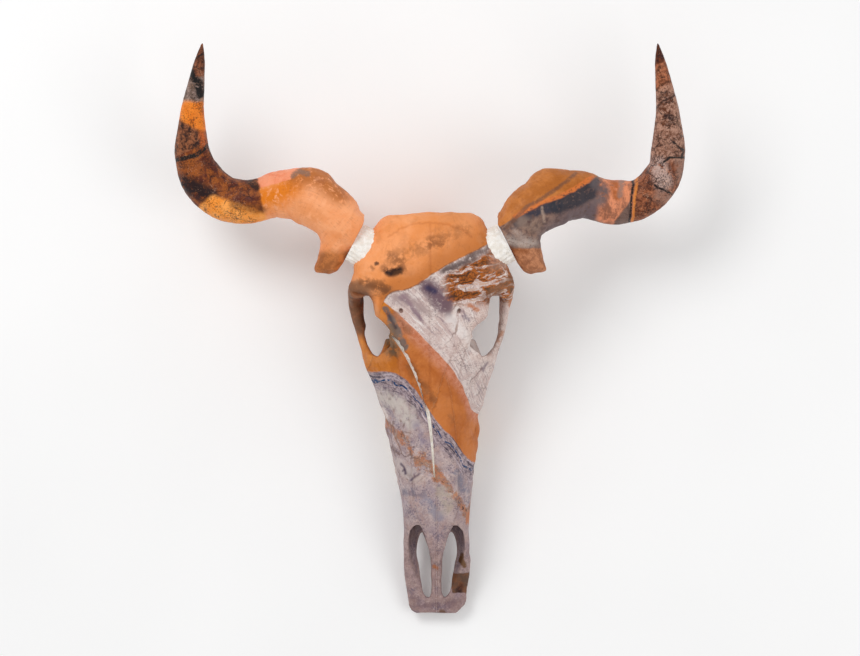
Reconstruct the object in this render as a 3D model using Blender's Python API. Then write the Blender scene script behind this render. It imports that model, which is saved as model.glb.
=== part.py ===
"""A blue wildebeest skull without its lower jaw, life size, in metres.

It lies as it rests on a table: on its cheek teeth and on the two processes behind the ears, with the face up.
X runs across the skull, -Y is the nose, +Y is the crown and +Z is up. The origin is under the middle of its box.
Every bone that a person would name is its own object, parted from the next by a thin suture.
"""

import math

import bmesh
import bpy
from mathutils import Vector

MM = 0.001

# Fineness
VOXEL = 2.4  # the grid that melts the forms of the bone into one surface
HORN_VOXEL = 2.6
SUTURE = 0.3  # gap between two bones
RING_SIDES = 28  # points round a form before it is melted
SKULL_FACES = 6400
HORN_FACES = 1100
SIDES = {"left": -1.0, "right": 1.0}

# The nose leans a little to the right
LEAN = 7.5
LEAN_START = -40.0
LEAN_END = -215.0

# Each row of a profile: place along Y, half width, top, bottom, and how much the top is narrower
BROW = (
    (131.0, 49.0, 150.0, 122.0, 0.10),
    (124.0, 60.0, 157.0, 116.0, 0.10),
    (105.0, 70.0, 163.0, 112.0, 0.10),
    (87.0, 79.0, 166.0, 110.0, 0.08),
    (68.0, 89.5, 165.0, 112.0, 0.05),
    (45.0, 95.5, 160.0, 118.0, 0.02),
    (39.0, 84.0, 158.5, 120.0, 0.00),
    (33.0, 68.0, 157.0, 122.0, 0.00),
    (13.0, 63.5, 153.0, 124.0, 0.00),
    (-4.0, 50.0, 149.0, 122.0, 0.00),
    (-30.0, 44.0, 142.5, 110.0, 0.00),
    (-58.0, 40.0, 133.5, 100.0, 0.00),
    (-85.0, 34.0, 120.0, 90.0, 0.00),
)
BRAINCASE = (
    (129.5, 42.0, 140.0, 44.0, -0.08),
    (121.0, 51.0, 150.0, 35.0, -0.10),
    (98.0, 54.0, 156.0, 32.0, -0.06),
    (66.0, 46.0, 156.0, 34.0, 0.00),
    (30.0, 35.0, 150.0, 42.0, 0.00),
    (0.0, 29.0, 146.0, 52.0, 0.00),
    (-40.0, 27.0, 138.0, 58.0, 0.00),
)
# The sloping sides between the brow and the braincase
TEMPLE = (
    (128.5, 40.0, 146.0, 84.0, -0.12),
    (118.0, 53.0, 150.0, 74.0, -0.18),
    (96.0, 60.0, 152.0, 68.0, -0.24),
    (70.0, 62.0, 152.0, 74.0, -0.30),
    (50.0, 56.0, 150.0, 86.0, -0.34),
    (36.0, 42.0, 148.0, 104.0, -0.30),
)
FACE = (
    (-13.0, 57.0, 139.0, 78.0, 0.22),
    (-34.0, 72.0, 139.5, 66.0, 0.24),
    (-42.0, 72.5, 138.5, 56.0, 0.26),
    (-60.0, 66.5, 135.0, 40.0, 0.30),
    (-79.0, 61.0, 131.0, 26.0, 0.30),
    (-106.0, 54.5, 124.0, 20.0, 0.28),
    (-143.0, 48.0, 112.5, 19.0, 0.24),
    (-180.0, 42.5, 100.0, 18.0, 0.18),
    (-217.0, 39.2, 87.0, 17.0, 0.12),
    (-240.0, 38.6, 76.0, 16.0, 0.08),
    (-262.0, 38.6, 54.0, 15.0, 0.04),
    (-285.0, 37.8, 38.0, 13.5, 0.00),
    (-305.0, 33.0, 27.0, 12.0, 0.00),
    (-318.0, 27.5, 22.0, 12.5, 0.00),
    (-327.0, 18.0, 18.0, 14.0, 0.00),
)
NASAL_CAVITY = (
    (-150.0, 10.0, 84.0, 44.0, 0.0),
    (-180.0, 20.0, 92.0, 28.0, 0.1),
    (-217.0, 29.0, 82.0, 22.0, 0.1),
    (-240.0, 32.0, 92.0, 21.0, 0.0),
    (-262.0, 32.5, 96.0, 20.5, 0.0),
    (-285.0, 30.0, 90.0, 20.5, 0.0),
    (-304.0, 22.0, 84.0, 21.0, 0.0),
    (-313.0, 8.0, 80.0, 24.0, 0.0),
)
# Nasal bones: place, half width of the pair, top, thickness
NASALS = (
    (-50.0, 16.0, 137.5, 12.0),
    (-75.0, 23.0, 132.5, 12.0),
    (-110.0, 26.0, 123.5, 12.0),
    (-160.0, 27.5, 108.0, 10.0),
    (-200.0, 26.0, 94.0, 8.0),
    (-225.0, 20.5, 85.0, 7.0),
    (-242.0, 13.2, 79.0, 6.0),
    (-258.0, 8.8, 73.5, 5.5),
    (-272.0, 3.5, 69.0, 5.0),
)
# Slits in the palate behind the nose: place, middle and half width
FISSURE = (
    (-235.5, 17.0, 0.8),
    (-246.0, 17.0, 5.0),
    (-262.0, 15.6, 7.8),
    (-276.0, 13.6, 7.0),
    (-295.0, 11.8, 6.0),
    (-307.0, 10.6, 4.6),
    (-312.5, 9.4, 1.6),
)
# The eye socket seen from above, as a run of corners round its slot
SLOT = (
    (71.5, 37.0),
    (66.5, 30.0),
    (63.0, 13.0),
    (52.0, 4.0),
    (45.0, -5.0),
    (52.5, -15.0),
    (56.0, -24.0),
    (59.5, -34.5),
    (66.0, -31.0),
    (73.5, -22.0),
    (77.5, -8.0),
    (79.0, 12.0),
    (78.5, 33.0),
)
SOCKET = (64.0, 2.0, 111.0)
SOCKET_RADII = (37.0, 34.0, 29.0)

# Bars of bone: x, y, z, half thickness across, half thickness up
CHEEK_BAR = (
    (62.0, -50.0, 82.0, 9.0, 17.0),
    (70.0, -34.0, 81.0, 7.0, 15.5),
    (75.5, -22.0, 79.5, 4.8, 13.5),
    (81.0, -5.0, 78.0, 4.6, 12.0),
    (85.0, 14.0, 77.0, 5.4, 12.0),
    (86.5, 34.0, 77.0, 6.4, 12.5),
    (82.0, 54.0, 75.0, 5.6, 9.5),
    (72.0, 70.0, 73.0, 6.0, 9.0),
    (56.0, 80.0, 73.0, 9.0, 10.0),
    (38.0, 84.0, 76.0, 12.0, 13.0),
)
SOCKET_POST = (
    (85.5, 30.0, 78.0, 5.5, 13.0),
    (88.0, 37.0, 97.0, 5.5, 9.0),
    (88.5, 43.0, 116.0, 6.0, 10.0),
    (85.0, 50.0, 138.0, 9.0, 18.0),
)

# Underside
PARIETAL_BASE = (
    (122.0, 23.0, 56.0, 27.0, -0.2),
    (100.0, 20.0, 56.0, 24.0, -0.2),
    (60.0, 16.0, 62.0, 28.0, -0.1),
    (10.0, 12.0, 72.0, 42.0, 0.0),
    (-30.0, 10.0, 84.0, 54.0, 0.0),
)
CHOANA = (
    (26.0, 11.0, 56.0, 20.0, 0.0),
    (-40.0, 12.0, 60.0, 16.0, 0.0),
    (-80.0, 12.5, 56.0, 14.0, 0.0),
    (-112.0, 9.0, 50.0, 30.0, 0.0),
)
PALATE_VAULT = (
    (-75.0, 27.0, 26.0, 2.0, 0.3),
    (-120.0, 25.0, 25.0, 2.0, 0.3),
    (-185.0, 20.0, 22.5, 2.0, 0.3),
    (-228.0, 14.0, 19.5, 2.0, 0.3),
)
PTERYGOID = (
    (-86.0, 15.5, 3.0, 26.0, 72.0),
    (-55.0, 15.0, 2.6, 27.0, 76.0),
    (-20.0, 14.5, 2.6, 30.0, 80.0),
    (16.0, 14.0, 2.8, 40.0, 80.0),
    (34.0, 13.0, 3.0, 54.0, 78.0),
)
CONDYLE = (20.5, 125.0, 40.0)
CONDYLE_RADII = (12.5, 13.5, 16.5)
BULLA = (30.0, 76.0, 32.0)
BULLA_RADII = (10.5, 18.0, 14.0)
EAR_TUBE = ((38.0, 84.0, 56.0, 8.0, 8.0), (62.0, 90.0, 67.0, 6.5, 6.5))
# The blade-like process behind each ear, down to the table
EAR_PROCESS = (
    (46.0, 102.0, 84.0, 10.0, 16.0),
    (48.0, 105.0, 56.0, 9.0, 16.0),
    (45.0, 107.0, 34.0, 6.4, 13.0),
    (41.0, 104.0, 13.0, 4.8, 9.0),
    (39.5, 102.0, -8.0, 4.4, 8.0),
)
NUCHAL_CREST = (
    (-52.0, 100.0, 62.0, 6.0, 7.0),
    (-56.5, 106.0, 92.0, 5.5, 7.5),
    (-52.0, 115.0, 122.0, 5.5, 7.5),
    (-36.0, 123.0, 139.0, 6.0, 8.0),
    (0.0, 127.0, 143.0, 6.5, 8.0),
    (36.0, 123.0, 139.0, 6.0, 8.0),
    (52.0, 115.0, 122.0, 5.5, 7.5),
    (56.5, 106.0, 92.0, 5.5, 7.5),
    (52.0, 100.0, 62.0, 6.0, 7.0),
)
FORAMEN = (0.0, 132.0, 56.0)
FORAMEN_RADII = (12.5, 34.0, 12.0)

# Cheek teeth of one side: where the row starts, then length and width of each tooth
TOOTH_ROW_START = -184.0
TEETH = ((10.5, 10.0), (12.5, 13.0), (13.5, 15.0), (18.5, 17.5), (21.5, 18.5), (22.5, 17.5))
ROW_INSIDE_FRONT = 25.0
ROW_INSIDE_BACK = 30.0
TOOTH_ROOT = 27.0
TOOTH_GAP = 0.8

# Horn: out from the middle, along Y, height, half width across, half depth
HORN = (
    (84.0, 108.0, 136.0, 30.0, 26.0),
    (98.0, 122.0, 136.0, 31.0, 29.0),
    (118.0, 138.0, 134.0, 32.5, 30.5),
    (139.0, 149.5, 129.0, 34.5, 30.0),
    (156.0, 153.0, 123.0, 30.0, 28.0),
    (174.0, 153.0, 117.0, 27.0, 26.0),
    (192.5, 148.0, 112.0, 24.5, 24.5),
    (212.0, 144.5, 108.0, 25.3, 24.5),
    (232.0, 147.0, 106.0, 25.5, 24.0),
    (249.0, 156.5, 106.5, 25.5, 23.5),
    (262.0, 170.5, 109.0, 25.0, 22.5),
    (271.0, 188.0, 114.0, 22.5, 20.5),
    (275.5, 210.0, 122.0, 20.0, 18.0),
    (275.8, 243.0, 135.0, 14.4, 13.5),
    (271.0, 280.0, 150.0, 9.6, 9.4),
    (267.0, 308.0, 162.0, 5.9, 5.9),
    (263.5, 328.6, 171.0, 0.9, 0.9),
)
# The lower lip of the horn's base, which hangs beside the brow
HORN_LIP = (
    (104.0, 128.0, 134.0, 26.0, 26.0),
    (105.5, 112.0, 133.0, 25.0, 25.0),
    (107.0, 99.0, 131.0, 20.0, 22.0),
    (110.0, 89.0, 129.0, 17.0, 19.0),
    (114.5, 78.5, 126.0, 15.0, 16.0),
    (118.0, 70.0, 124.0, 12.6, 13.0),
    (120.5, 63.5, 123.0, 6.0, 6.5),
)
# The flat face of the horn's base, and the stump of bone that carries it
SEAT = (80.0, 112.0, 133.0)
SEAT_NORMAL = Vector((0.887, 0.462, 0.0)).normalized()
STUMP_LENGTH = 42.0
STUMP_HALF_WIDTH = 23.0
STUMP_HALF_DEPTH = 18.5
STUMP_DROP = 16.0  # how far down the seat from SEAT the stump meets it

# Borders between the bones, in mm
FRONTAL_SUTURE = (
    (46.0, -7.0),
    (36.0, -15.0),
    (25.0, -33.0),
    (17.0, -51.0),
    (10.0, -70.0),
    (6.5, -86.0),
    (0.0, -97.0),
)
WEDGE_FLOOR = 104.0
CRANIUM_WALL = -9.0
OPEN_SUTURE = (
    (-42.0, -9.0, 142.0, 2.4, 7.0),
    (-36.5, -16.0, 142.0, 2.4, 7.0),
    (-25.5, -34.0, 141.0, 2.2, 7.0),
    (-17.2, -52.0, 138.0, 2.0, 7.0),
    (-10.2, -71.0, 134.0, 1.9, 7.0),
    (-5.6, -90.0, 129.0, 1.7, 6.5),
    (-3.0, -110.0, 123.5, 1.5, 6.0),
    (-1.8, -140.0, 114.5, 1.1, 5.0),
    (-1.4, -172.0, 103.0, 0.5, 3.0),
)
BONE_COLOUR = (0.62, 0.40, 0.26)
HORN_COLOUR = (0.30, 0.14, 0.07)
PREMAXILLA_LOW = (-258.0, 12.0)
PREMAXILLA_HIGH = (-206.0, 74.0)
CHEEK_BOX_LOW = (54.0, -40.0, 58.0)
CHEEK_BOX_HIGH = (120.0, 60.0, 106.0)
FAR = 400.0


def smooth_row(rows, place):
    """Values of a profile at a place, on a curve through its rows that never overshoots them."""
    keys = [row[0] for row in rows]
    turn = 1.0 if keys[-1] > keys[0] else -1.0
    here = min(max(place * turn, keys[0] * turn), keys[-1] * turn)
    last = len(rows) - 2
    span = next(i for i in range(last + 1) if here <= keys[i + 1] * turn or i == last)
    width = abs(keys[span + 1] - keys[span])
    t = (here - keys[span] * turn) / width
    values = []
    for column in range(1, len(rows[0])):
        slopes = [
            (rows[i + 1][column] - rows[i][column]) / abs(keys[i + 1] - keys[i])
            for i in range(len(rows) - 1)
        ]
        ends = []
        for i in (span, span + 1):
            before, after = slopes[max(i - 1, 0)], slopes[min(i, last)]
            level = before * after <= 0.0
            ends.append(0.0 if level else 2.0 * before * after / (before + after))
        low, high = rows[span][column], rows[span + 1][column]
        values.append(
            low * (1.0 + 2.0 * t) * (1.0 - t) ** 2
            + width * ends[0] * t * (1.0 - t) ** 2
            + high * t * t * (3.0 - 2.0 * t)
            - width * ends[1] * t * t * (1.0 - t)
        )
    return values


def round_corner(value, power):
    """One side of a superellipse: power 2 is round, and more is squarer."""
    return math.copysign(abs(value) ** (2.0 / power), value)


def oval(centre, side, up, half_width, half_height, power=2.2, narrow=0.0, sides=RING_SIDES):
    """A ring of points round a centre. Its top is narrower than its bottom by a share of the width."""
    ring = []
    for i in range(sides):
        angle = 2.0 * math.pi * i / sides
        across = round_corner(math.cos(angle), power)
        rise = round_corner(math.sin(angle), power)
        across *= 1.0 - narrow * rise
        ring.append(centre + side * (across * half_width) + up * (rise * half_height))
    return ring


def skin(name, rings):
    """A closed object through rings of points that are given in millimetres."""
    mesh = bmesh.new()
    loops = []
    for ring in rings:
        corners = [mesh.verts.new(point * MM) for point in ring]
        loops.append([mesh.edges.new(pair) for pair in zip(corners, corners[1:] + corners[:1])])
        if len(loops) > 1:
            bmesh.ops.bridge_loops(mesh, edges=loops[-2] + loops[-1])
    for loop in (loops[0], loops[-1]):
        bmesh.ops.edgeloop_fill(mesh, edges=loop)
    bmesh.ops.recalc_face_normals(mesh, faces=mesh.faces)
    return finished(name, mesh)


def finished(name, mesh):
    """A bmesh as an object of the scene."""
    data = bpy.data.meshes.new(name)
    mesh.to_mesh(data)
    mesh.free()
    made = bpy.data.objects.new(name, data)
    bpy.context.scene.collection.objects.link(made)
    return made


def loft(name, rows, step=4.0, power=2.2, mirror_at=0.0, sides=RING_SIDES):
    """A form along Y from a profile, upright at every place."""
    low, high = sorted((rows[0][0], rows[-1][0]))
    count = max(2, round((high - low) / step))
    rings = []
    for i in range(count + 1):
        place = low + (high - low) * i / count
        half_width, top, bottom, narrow = smooth_row(rows, place)
        centre = Vector((mirror_at, place, (top + bottom) / 2.0))
        rings.append(
            oval(centre, Vector((1, 0, 0)), Vector((0, 0, 1)), half_width, (top - bottom) / 2.0,
                 power, narrow, sides)
        )
    return skin(name, rings)


def sweep(name, rows, side=1.0, steps=4, power=2.0, sides=16, up=Vector((0, 0, 1))):
    """A form along a path of (x, y, z, half thickness across, half thickness up), for one side."""
    keyed = [(float(i), *row) for i, row in enumerate(rows)]
    count = steps * (len(rows) - 1)
    places = [i / steps for i in range(count + 1)]
    points = [smooth_row(keyed, place) for place in places]
    rings = []
    for i, (x, y, z, across, tall) in enumerate(points):
        before, after = points[max(i - 1, 0)], points[min(i + 1, count)]
        ahead = (Vector(after[:3]) - Vector(before[:3])).normalized()
        sideways = ahead.cross(up).normalized()
        upward = sideways.cross(ahead)
        ring = oval(Vector((x, y, z)), sideways, upward, across, tall, power, sides=sides)
        rings.append([Vector((p.x * side, p.y, p.z)) for p in ring])
    return skin(name, rings)


def ball(name, centre, radii, side=1.0):
    """An egg shape of given radii."""
    mesh = bmesh.new()
    bmesh.ops.create_icosphere(mesh, subdivisions=3, radius=1.0)
    bmesh.ops.scale(mesh, vec=Vector(radii) * MM, verts=mesh.verts)
    bmesh.ops.translate(mesh, vec=Vector((centre[0] * side, centre[1], centre[2])) * MM, verts=mesh.verts)
    return finished(name, mesh)


def block(name, low, high):
    """A box between two corners."""
    mesh = bmesh.new()
    bmesh.ops.create_cube(mesh, size=1.0)
    low, high = Vector(low), Vector(high)
    bmesh.ops.scale(mesh, vec=(high - low) * MM, verts=mesh.verts)
    bmesh.ops.translate(mesh, vec=(high + low) / 2.0 * MM, verts=mesh.verts)
    return finished(name, mesh)


def prism(name, outline, low, high):
    """An outline seen from above, as an upright block."""
    mesh = bmesh.new()
    face = mesh.faces.new([mesh.verts.new(Vector((x, y, low)) * MM) for x, y in outline])
    grown = bmesh.ops.extrude_face_region(mesh, geom=[face])
    top = [v for v in grown["geom"] if isinstance(v, bmesh.types.BMVert)]
    bmesh.ops.translate(mesh, vec=Vector((0, 0, high - low)) * MM, verts=top)
    bmesh.ops.recalc_face_normals(mesh, faces=mesh.faces)
    return finished(name, mesh)


def settle(obj):
    """Applies an object's modifiers."""
    graph = bpy.context.evaluated_depsgraph_get()
    data = bpy.data.meshes.new_from_object(obj.evaluated_get(graph))
    obj.modifiers.clear()
    obj.data = data
    return obj


def combine(obj, others, operation, keep=False):
    """Joins others to an object, cuts them from it, or keeps what it shares with them."""
    tools = bpy.data.collections.new("tools")
    bpy.context.scene.collection.children.link(tools)
    for other in others:
        tools.objects.link(other)
    cut = obj.modifiers.new(operation, "BOOLEAN")
    cut.operation = operation
    cut.operand_type = "COLLECTION"
    cut.collection = tools
    cut.solver = "MANIFOLD"
    settle(obj)
    bpy.data.collections.remove(tools)
    if not keep:
        for other in others:
            bpy.data.objects.remove(other)
    return obj


def melt(obj, voxel, passes, factor=0.5):
    """Runs the joined forms together into one smooth surface."""
    grid = obj.modifiers.new("melt", "REMESH")
    grid.mode = "VOXEL"
    grid.voxel_size = voxel * MM
    ease = obj.modifiers.new("ease", "SMOOTH")
    ease.factor = factor
    ease.iterations = passes
    return settle(obj)


def thin_out(obj, faces):
    """Brings a surface down to a number of triangles where it is flattest."""
    count = sum(len(face.vertices) - 2 for face in obj.data.polygons)
    fewer = obj.modifiers.new("fewer", "DECIMATE")
    fewer.ratio = min(1.0, faces / count)
    fewer.use_collapse_triangulate = True
    return settle(obj)


def copied(obj, name):
    twin = bpy.data.objects.new(name, obj.data.copy())
    bpy.context.scene.collection.objects.link(twin)
    return twin


def keep_largest(obj):
    """Drops what a cut has left loose."""
    mesh = bmesh.new()
    mesh.from_mesh(obj.data)
    left = set(mesh.verts)
    groups = []
    while left:
        todo = [left.pop()]
        group = set(todo)
        while todo:
            here = todo.pop()
            near = {edge.other_vert(here) for edge in here.link_edges} & left
            left -= near
            group |= near
            todo.extend(near)
        groups.append(group)
    largest = max(groups, key=len)
    bmesh.ops.delete(mesh, geom=[v for v in mesh.verts if v not in largest], context="VERTS")
    mesh.to_mesh(obj.data)
    mesh.free()
    return obj


def lean_at(place):
    """How far aside the middle of the skull lies at a place along it."""
    t = (place - LEAN_START) / (LEAN_END - LEAN_START)
    t = min(max(t, 0.0), 1.0)
    return LEAN * t * t * (3.0 - 2.0 * t)


def leaned(obj):
    """Moves the nose aside, a little more the further forward."""
    for vertex in obj.data.vertices:
        vertex.co.x += lean_at(vertex.co.y / MM) * MM
    return obj


def painted(obj, colour, roughness):
    """A plain material of the piece's own colour."""
    material = bpy.data.materials.new(obj.name)
    material.use_nodes = True
    shader = material.node_tree.nodes["Principled BSDF"]
    shader.inputs["Base Color"].default_value = (*colour, 1.0)
    shader.inputs["Roughness"].default_value = roughness
    obj.data.materials.clear()
    obj.data.materials.append(material)
    obj.data.shade_smooth()
    obj.data.set_sharp_from_angle(angle=math.radians(40.0))
    return obj


def slot_cutter(side):
    """The upright opening through one eye socket."""
    outline = [(x * side, y) for x, y in SLOT]
    return prism("slot", outline, 20.0, 220.0)


def fissure_cutter(side):
    """The slit in the palate of one side."""
    steps = 14
    start, end = FISSURE[0][0], FISSURE[-1][0]
    places = [start + (end - start) * i / steps for i in range(steps + 1)]
    inner, outer = [], []
    for place in places:
        middle, half = smooth_row(FISSURE, place)
        inner.append(((middle - half) * side, place))
        outer.append(((middle + half) * side, place))
    return prism("fissure", inner + outer[::-1], -10.0, 60.0)


def pterygoid_plate(side):
    """The thin upright plate beside the opening behind the palate."""
    rings = []
    for y, x, half, low, high in PTERYGOID:
        centre = Vector((x * side, y, (low + high) / 2.0))
        rings.append(oval(centre, Vector((1, 0, 0)), Vector((0, 0, 1)), half, (high - low) / 2.0,
                          3.0, sides=16))
    return skin("pterygoid", rings)


def nasal_roof(grow):
    """The pair of nasal bones, wider by grow on each side, with its tip over the nose."""
    rings = []
    steps = 36
    for i in range(steps + 1):
        place = NASALS[0][0] + (NASALS[-1][0] - NASALS[0][0]) * i / steps
        half, top, thick = smooth_row(NASALS, place)
        half += grow
        drop = 0.15 * half
        rings.append(
            [Vector((half * t, place, top - thick - grow - drop * t * t)) for t in (-1, -0.5, 0, 0.5, 1)]
            + [Vector((half * t, place, top + 20.0)) for t in (1, 0, -1)]
        )
    return skin("nasal_region", rings)


def nasal_tips():
    """The thin roof of bone that reaches over the nose."""
    rings = []
    steps = 24
    for i in range(steps + 1):
        place = -170.0 + (NASALS[-1][0] + 170.0) * i / steps
        half, top, thick = smooth_row(NASALS, place)
        centre = Vector((0.0, place, top - thick * 0.5 - 0.2 * half))
        rings.append(oval(centre, Vector((1, 0, 0)), Vector((0, 0, 1)), half,
                          thick * 0.5 + 0.2 * half, 2.4, narrow=0.12, sides=20))
    return skin("nasal_tips", rings)


def tooth(side, front, length, width, inside):
    """One cheek tooth with two lobes along its outer face, worn flat at the table."""
    outline = []
    for i in range(14):
        angle = 2.0 * math.pi * i / 14
        along = round_corner(math.cos(angle), 3.4)
        across = round_corner(math.sin(angle), 2.8)
        lobes = 1.0 - 0.10 * math.cos(2.0 * math.pi * along) if length > 15.0 else 1.0
        outline.append(
            ((inside + width / 2.0 + across * lobes * width / 2.0) * side,
             front + length / 2.0 + along * (length - TOOTH_GAP) / 2.0)
        )
    return prism("tooth", outline, 0.0, TOOTH_ROOT)


def tooth_row(side):
    """The six cheek teeth of one side."""
    row = []
    front = TOOTH_ROW_START
    total = sum(length for length, _ in TEETH)
    for length, width in TEETH:
        t = (front - TOOTH_ROW_START) / total
        inside = ROW_INSIDE_FRONT + (ROW_INSIDE_BACK - ROW_INSIDE_FRONT) * t
        row.append(tooth(side, front, length, width, inside))
        front += length
    return row


def gum_ridge(side):
    """The ridge of bone that holds the tooth row of one side."""
    total = sum(length for length, _ in TEETH)
    end = TOOTH_ROW_START + total
    rows = (
        (ROW_INSIDE_FRONT + 6.0, TOOTH_ROW_START - 18.0, 27.0, 4.0, 6.0),
        (ROW_INSIDE_FRONT + 6.5, TOOTH_ROW_START + 4.0, 26.0, 8.0, 13.0),
        (ROW_INSIDE_FRONT + 9.5, TOOTH_ROW_START + 40.0, 27.0, 10.5, 15.0),
        (ROW_INSIDE_BACK + 8.5, end - 12.0, 28.0, 11.0, 16.0),
        (ROW_INSIDE_BACK + 6.0, end + 8.0, 34.0, 9.0, 16.0),
    )
    return sweep("gum", rows, side, power=2.6)


def seat_block(side, low, high):
    """A block across one horn's seat, between two distances out from the seat."""
    along = Vector((-SEAT_NORMAL.y, SEAT_NORMAL.x, 0.0))
    base = Vector(SEAT)
    corners = []
    for out, wide in ((low, -FAR), (high, -FAR), (high, FAR), (low, FAR)):
        point = base + SEAT_NORMAL * out + along * wide
        corners.append((point.x * side, point.y))
    return prism("seat", corners, -FAR, FAR)


def horn_stump(side):
    """The stump of bone that carries one horn, up to its seat."""
    down = Vector((SEAT_NORMAL.y, -SEAT_NORMAL.x, 0.0))
    foot = Vector(SEAT) + down * STUMP_DROP
    rings = []
    for out in (-STUMP_LENGTH, -STUMP_LENGTH * 0.5, -6.0, 0.0 - SUTURE / 2.0):
        centre = foot + SEAT_NORMAL * out
        ring = oval(centre, down, Vector((0, 0, 1)), STUMP_HALF_WIDTH, STUMP_HALF_DEPTH, 2.3, sides=22)
        rings.append([Vector((p.x * side, p.y, p.z)) for p in ring])
    return skin("stump", rings)


def whole_skull():
    """All the bone in one surface, without teeth and horn stumps."""
    skull = loft("skull", BROW, power=2.5)
    bulk = [
        loft("braincase", BRAINCASE),
        loft("temple", TEMPLE),
        loft("face", FACE, power=2.5),
        loft("base", PARIETAL_BASE, power=2.4),
        sweep("crest", NUCHAL_CREST, up=Vector((0, 1, 0))),
    ]
    for side in (-1.0, 1.0):
        bulk += [
            ball("condyle", CONDYLE, CONDYLE_RADII, side),
            ball("bulla", BULLA, BULLA_RADII, side),
            sweep("ear", EAR_TUBE, side),
            sweep("process", EAR_PROCESS, side, up=Vector((0, 1, 0))),
            gum_ridge(side),
        ]
    combine(skull, bulk, "UNION")
    hollows = [
        loft("cavity", NASAL_CAVITY),
        loft("choana", CHOANA, power=2.6),
        loft("vault", PALATE_VAULT),
        ball("foramen", FORAMEN, FORAMEN_RADII),
    ]
    for side in (-1.0, 1.0):
        hollows += [ball("socket", SOCKET, SOCKET_RADII, side), fissure_cutter(side)]
    combine(skull, hollows, "DIFFERENCE")
    bars = [nasal_tips()]
    for side in (-1.0, 1.0):
        bars += [
            sweep("cheek", CHEEK_BAR, side),
            sweep("post", SOCKET_POST, side, up=Vector((0, 1, 0))),
            pterygoid_plate(side),
        ]
    combine(skull, bars, "UNION")
    combine(skull, [slot_cutter(side) for side in (-1.0, 1.0)], "DIFFERENCE")
    return melt(skull, VOXEL, 3)


def behind_suture(grow):
    """Where the braincase and brow lie: behind a V on the face, and behind a wall lower down."""
    half = [(x + grow, y - grow) for x, y in FRONTAL_SUTURE[:-1]]
    tip = (0.0, FRONTAL_SUTURE[-1][1] - grow)
    half = [(FAR, half[0][1])] + half
    outline = half + [tip] + [(-x, y) for x, y in half[::-1]] + [(-FAR, FAR), (FAR, FAR)]
    brow = prism("behind", outline, WEDGE_FLOOR - grow, FAR)
    low = (-FAR, CRANIUM_WALL - grow, -FAR)
    return combine(brow, [block("low", low, (FAR, FAR, WEDGE_FLOOR + 1.0 + grow))], "UNION")


def cheek_region(side, grow):
    """The box that holds one cheek bone."""
    low = Vector(CHEEK_BOX_LOW) - Vector((grow, grow, grow))
    high = Vector(CHEEK_BOX_HIGH) + Vector((grow, grow, grow))
    if side < 0.0:
        low.x, high.x = -high.x, -low.x
    return block("cheek_region", low, high)


def premaxilla_region(grow):
    """Everything in front of the slanting suture across the muzzle."""
    mesh = bmesh.new()
    (y_low, z_low), (y_high, z_high) = PREMAXILLA_LOW, PREMAXILLA_HIGH
    slope = (y_high - y_low) / (z_high - z_low)
    corners = [
        (y_low + slope * (-50.0 - z_low) + grow, -50.0),
        (y_low + slope * (130.0 - z_low) + grow, 130.0),
        (-FAR, 130.0),
        (-FAR, -50.0),
    ]
    face = mesh.faces.new([mesh.verts.new(Vector((-FAR, y, z)) * MM) for y, z in corners])
    grown = bmesh.ops.extrude_face_region(mesh, geom=[face])
    far_side = [v for v in grown["geom"] if isinstance(v, bmesh.types.BMVert)]
    bmesh.ops.translate(mesh, vec=Vector((2.0 * FAR, 0, 0)) * MM, verts=far_side)
    bmesh.ops.recalc_face_normals(mesh, faces=mesh.faces)
    return finished("premaxilla_region", mesh)


def open_suture():
    """The gaping suture left of the nose: a trench from the eye socket to the middle and forward."""
    return sweep("open_suture", OPEN_SUTURE, steps=5, sides=10)


def taken(rest, region, name):
    """The share of a solid inside a region, as its own object."""
    return combine(copied(rest, name), [region], "INTERSECT")


def half_region(side):
    """Everything on one side of the middle plane, which leans with the nose."""
    steps = [-FAR + 6.0 * i for i in range(int(2.0 * FAR / 6.0) + 1)]
    middle = [(side * SUTURE / 2.0 + lean_at(y), y) for y in steps]
    outline = middle + [(side * FAR, steps[-1]), (side * FAR, steps[0])]
    return prism("half", outline, -FAR, FAR)


def halves(obj, name):
    """Parts a pair of bones along the middle."""
    made = {word: taken(obj, half_region(side), f"{name}_{word}") for word, side in SIDES.items()}
    bpy.data.objects.remove(obj)
    return made


def horn(word, side):
    """One horn, cut flat where it sits on its stump."""
    shaft = sweep(f"horn_{word}", HORN, side, power=2.1, sides=24)
    lip = sweep("lip", HORN_LIP, side, power=2.1, sides=20)
    combine(shaft, [lip], "UNION")
    melt(shaft, HORN_VOXEL, 4)
    combine(shaft, [seat_block(side, -FAR, SUTURE / 2.0)], "DIFFERENCE")
    return thin_out(keep_largest(shaft), HORN_FACES)


def centred(pieces):
    """Moves the pieces together until their box stands on the middle of the floor."""
    corners = [vertex.co for piece in pieces for vertex in piece.data.vertices]
    low = Vector([min(corner[axis] for corner in corners) for axis in range(3)])
    high = Vector([max(corner[axis] for corner in corners) for axis in range(3)])
    middle = Vector(((low.x + high.x) / 2.0, (low.y + high.y) / 2.0, low.z))
    for piece in pieces:
        for vertex in piece.data.vertices:
            vertex.co -= middle
    print("moved by", [round(-value / MM, 3) for value in middle], "mm")


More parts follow.
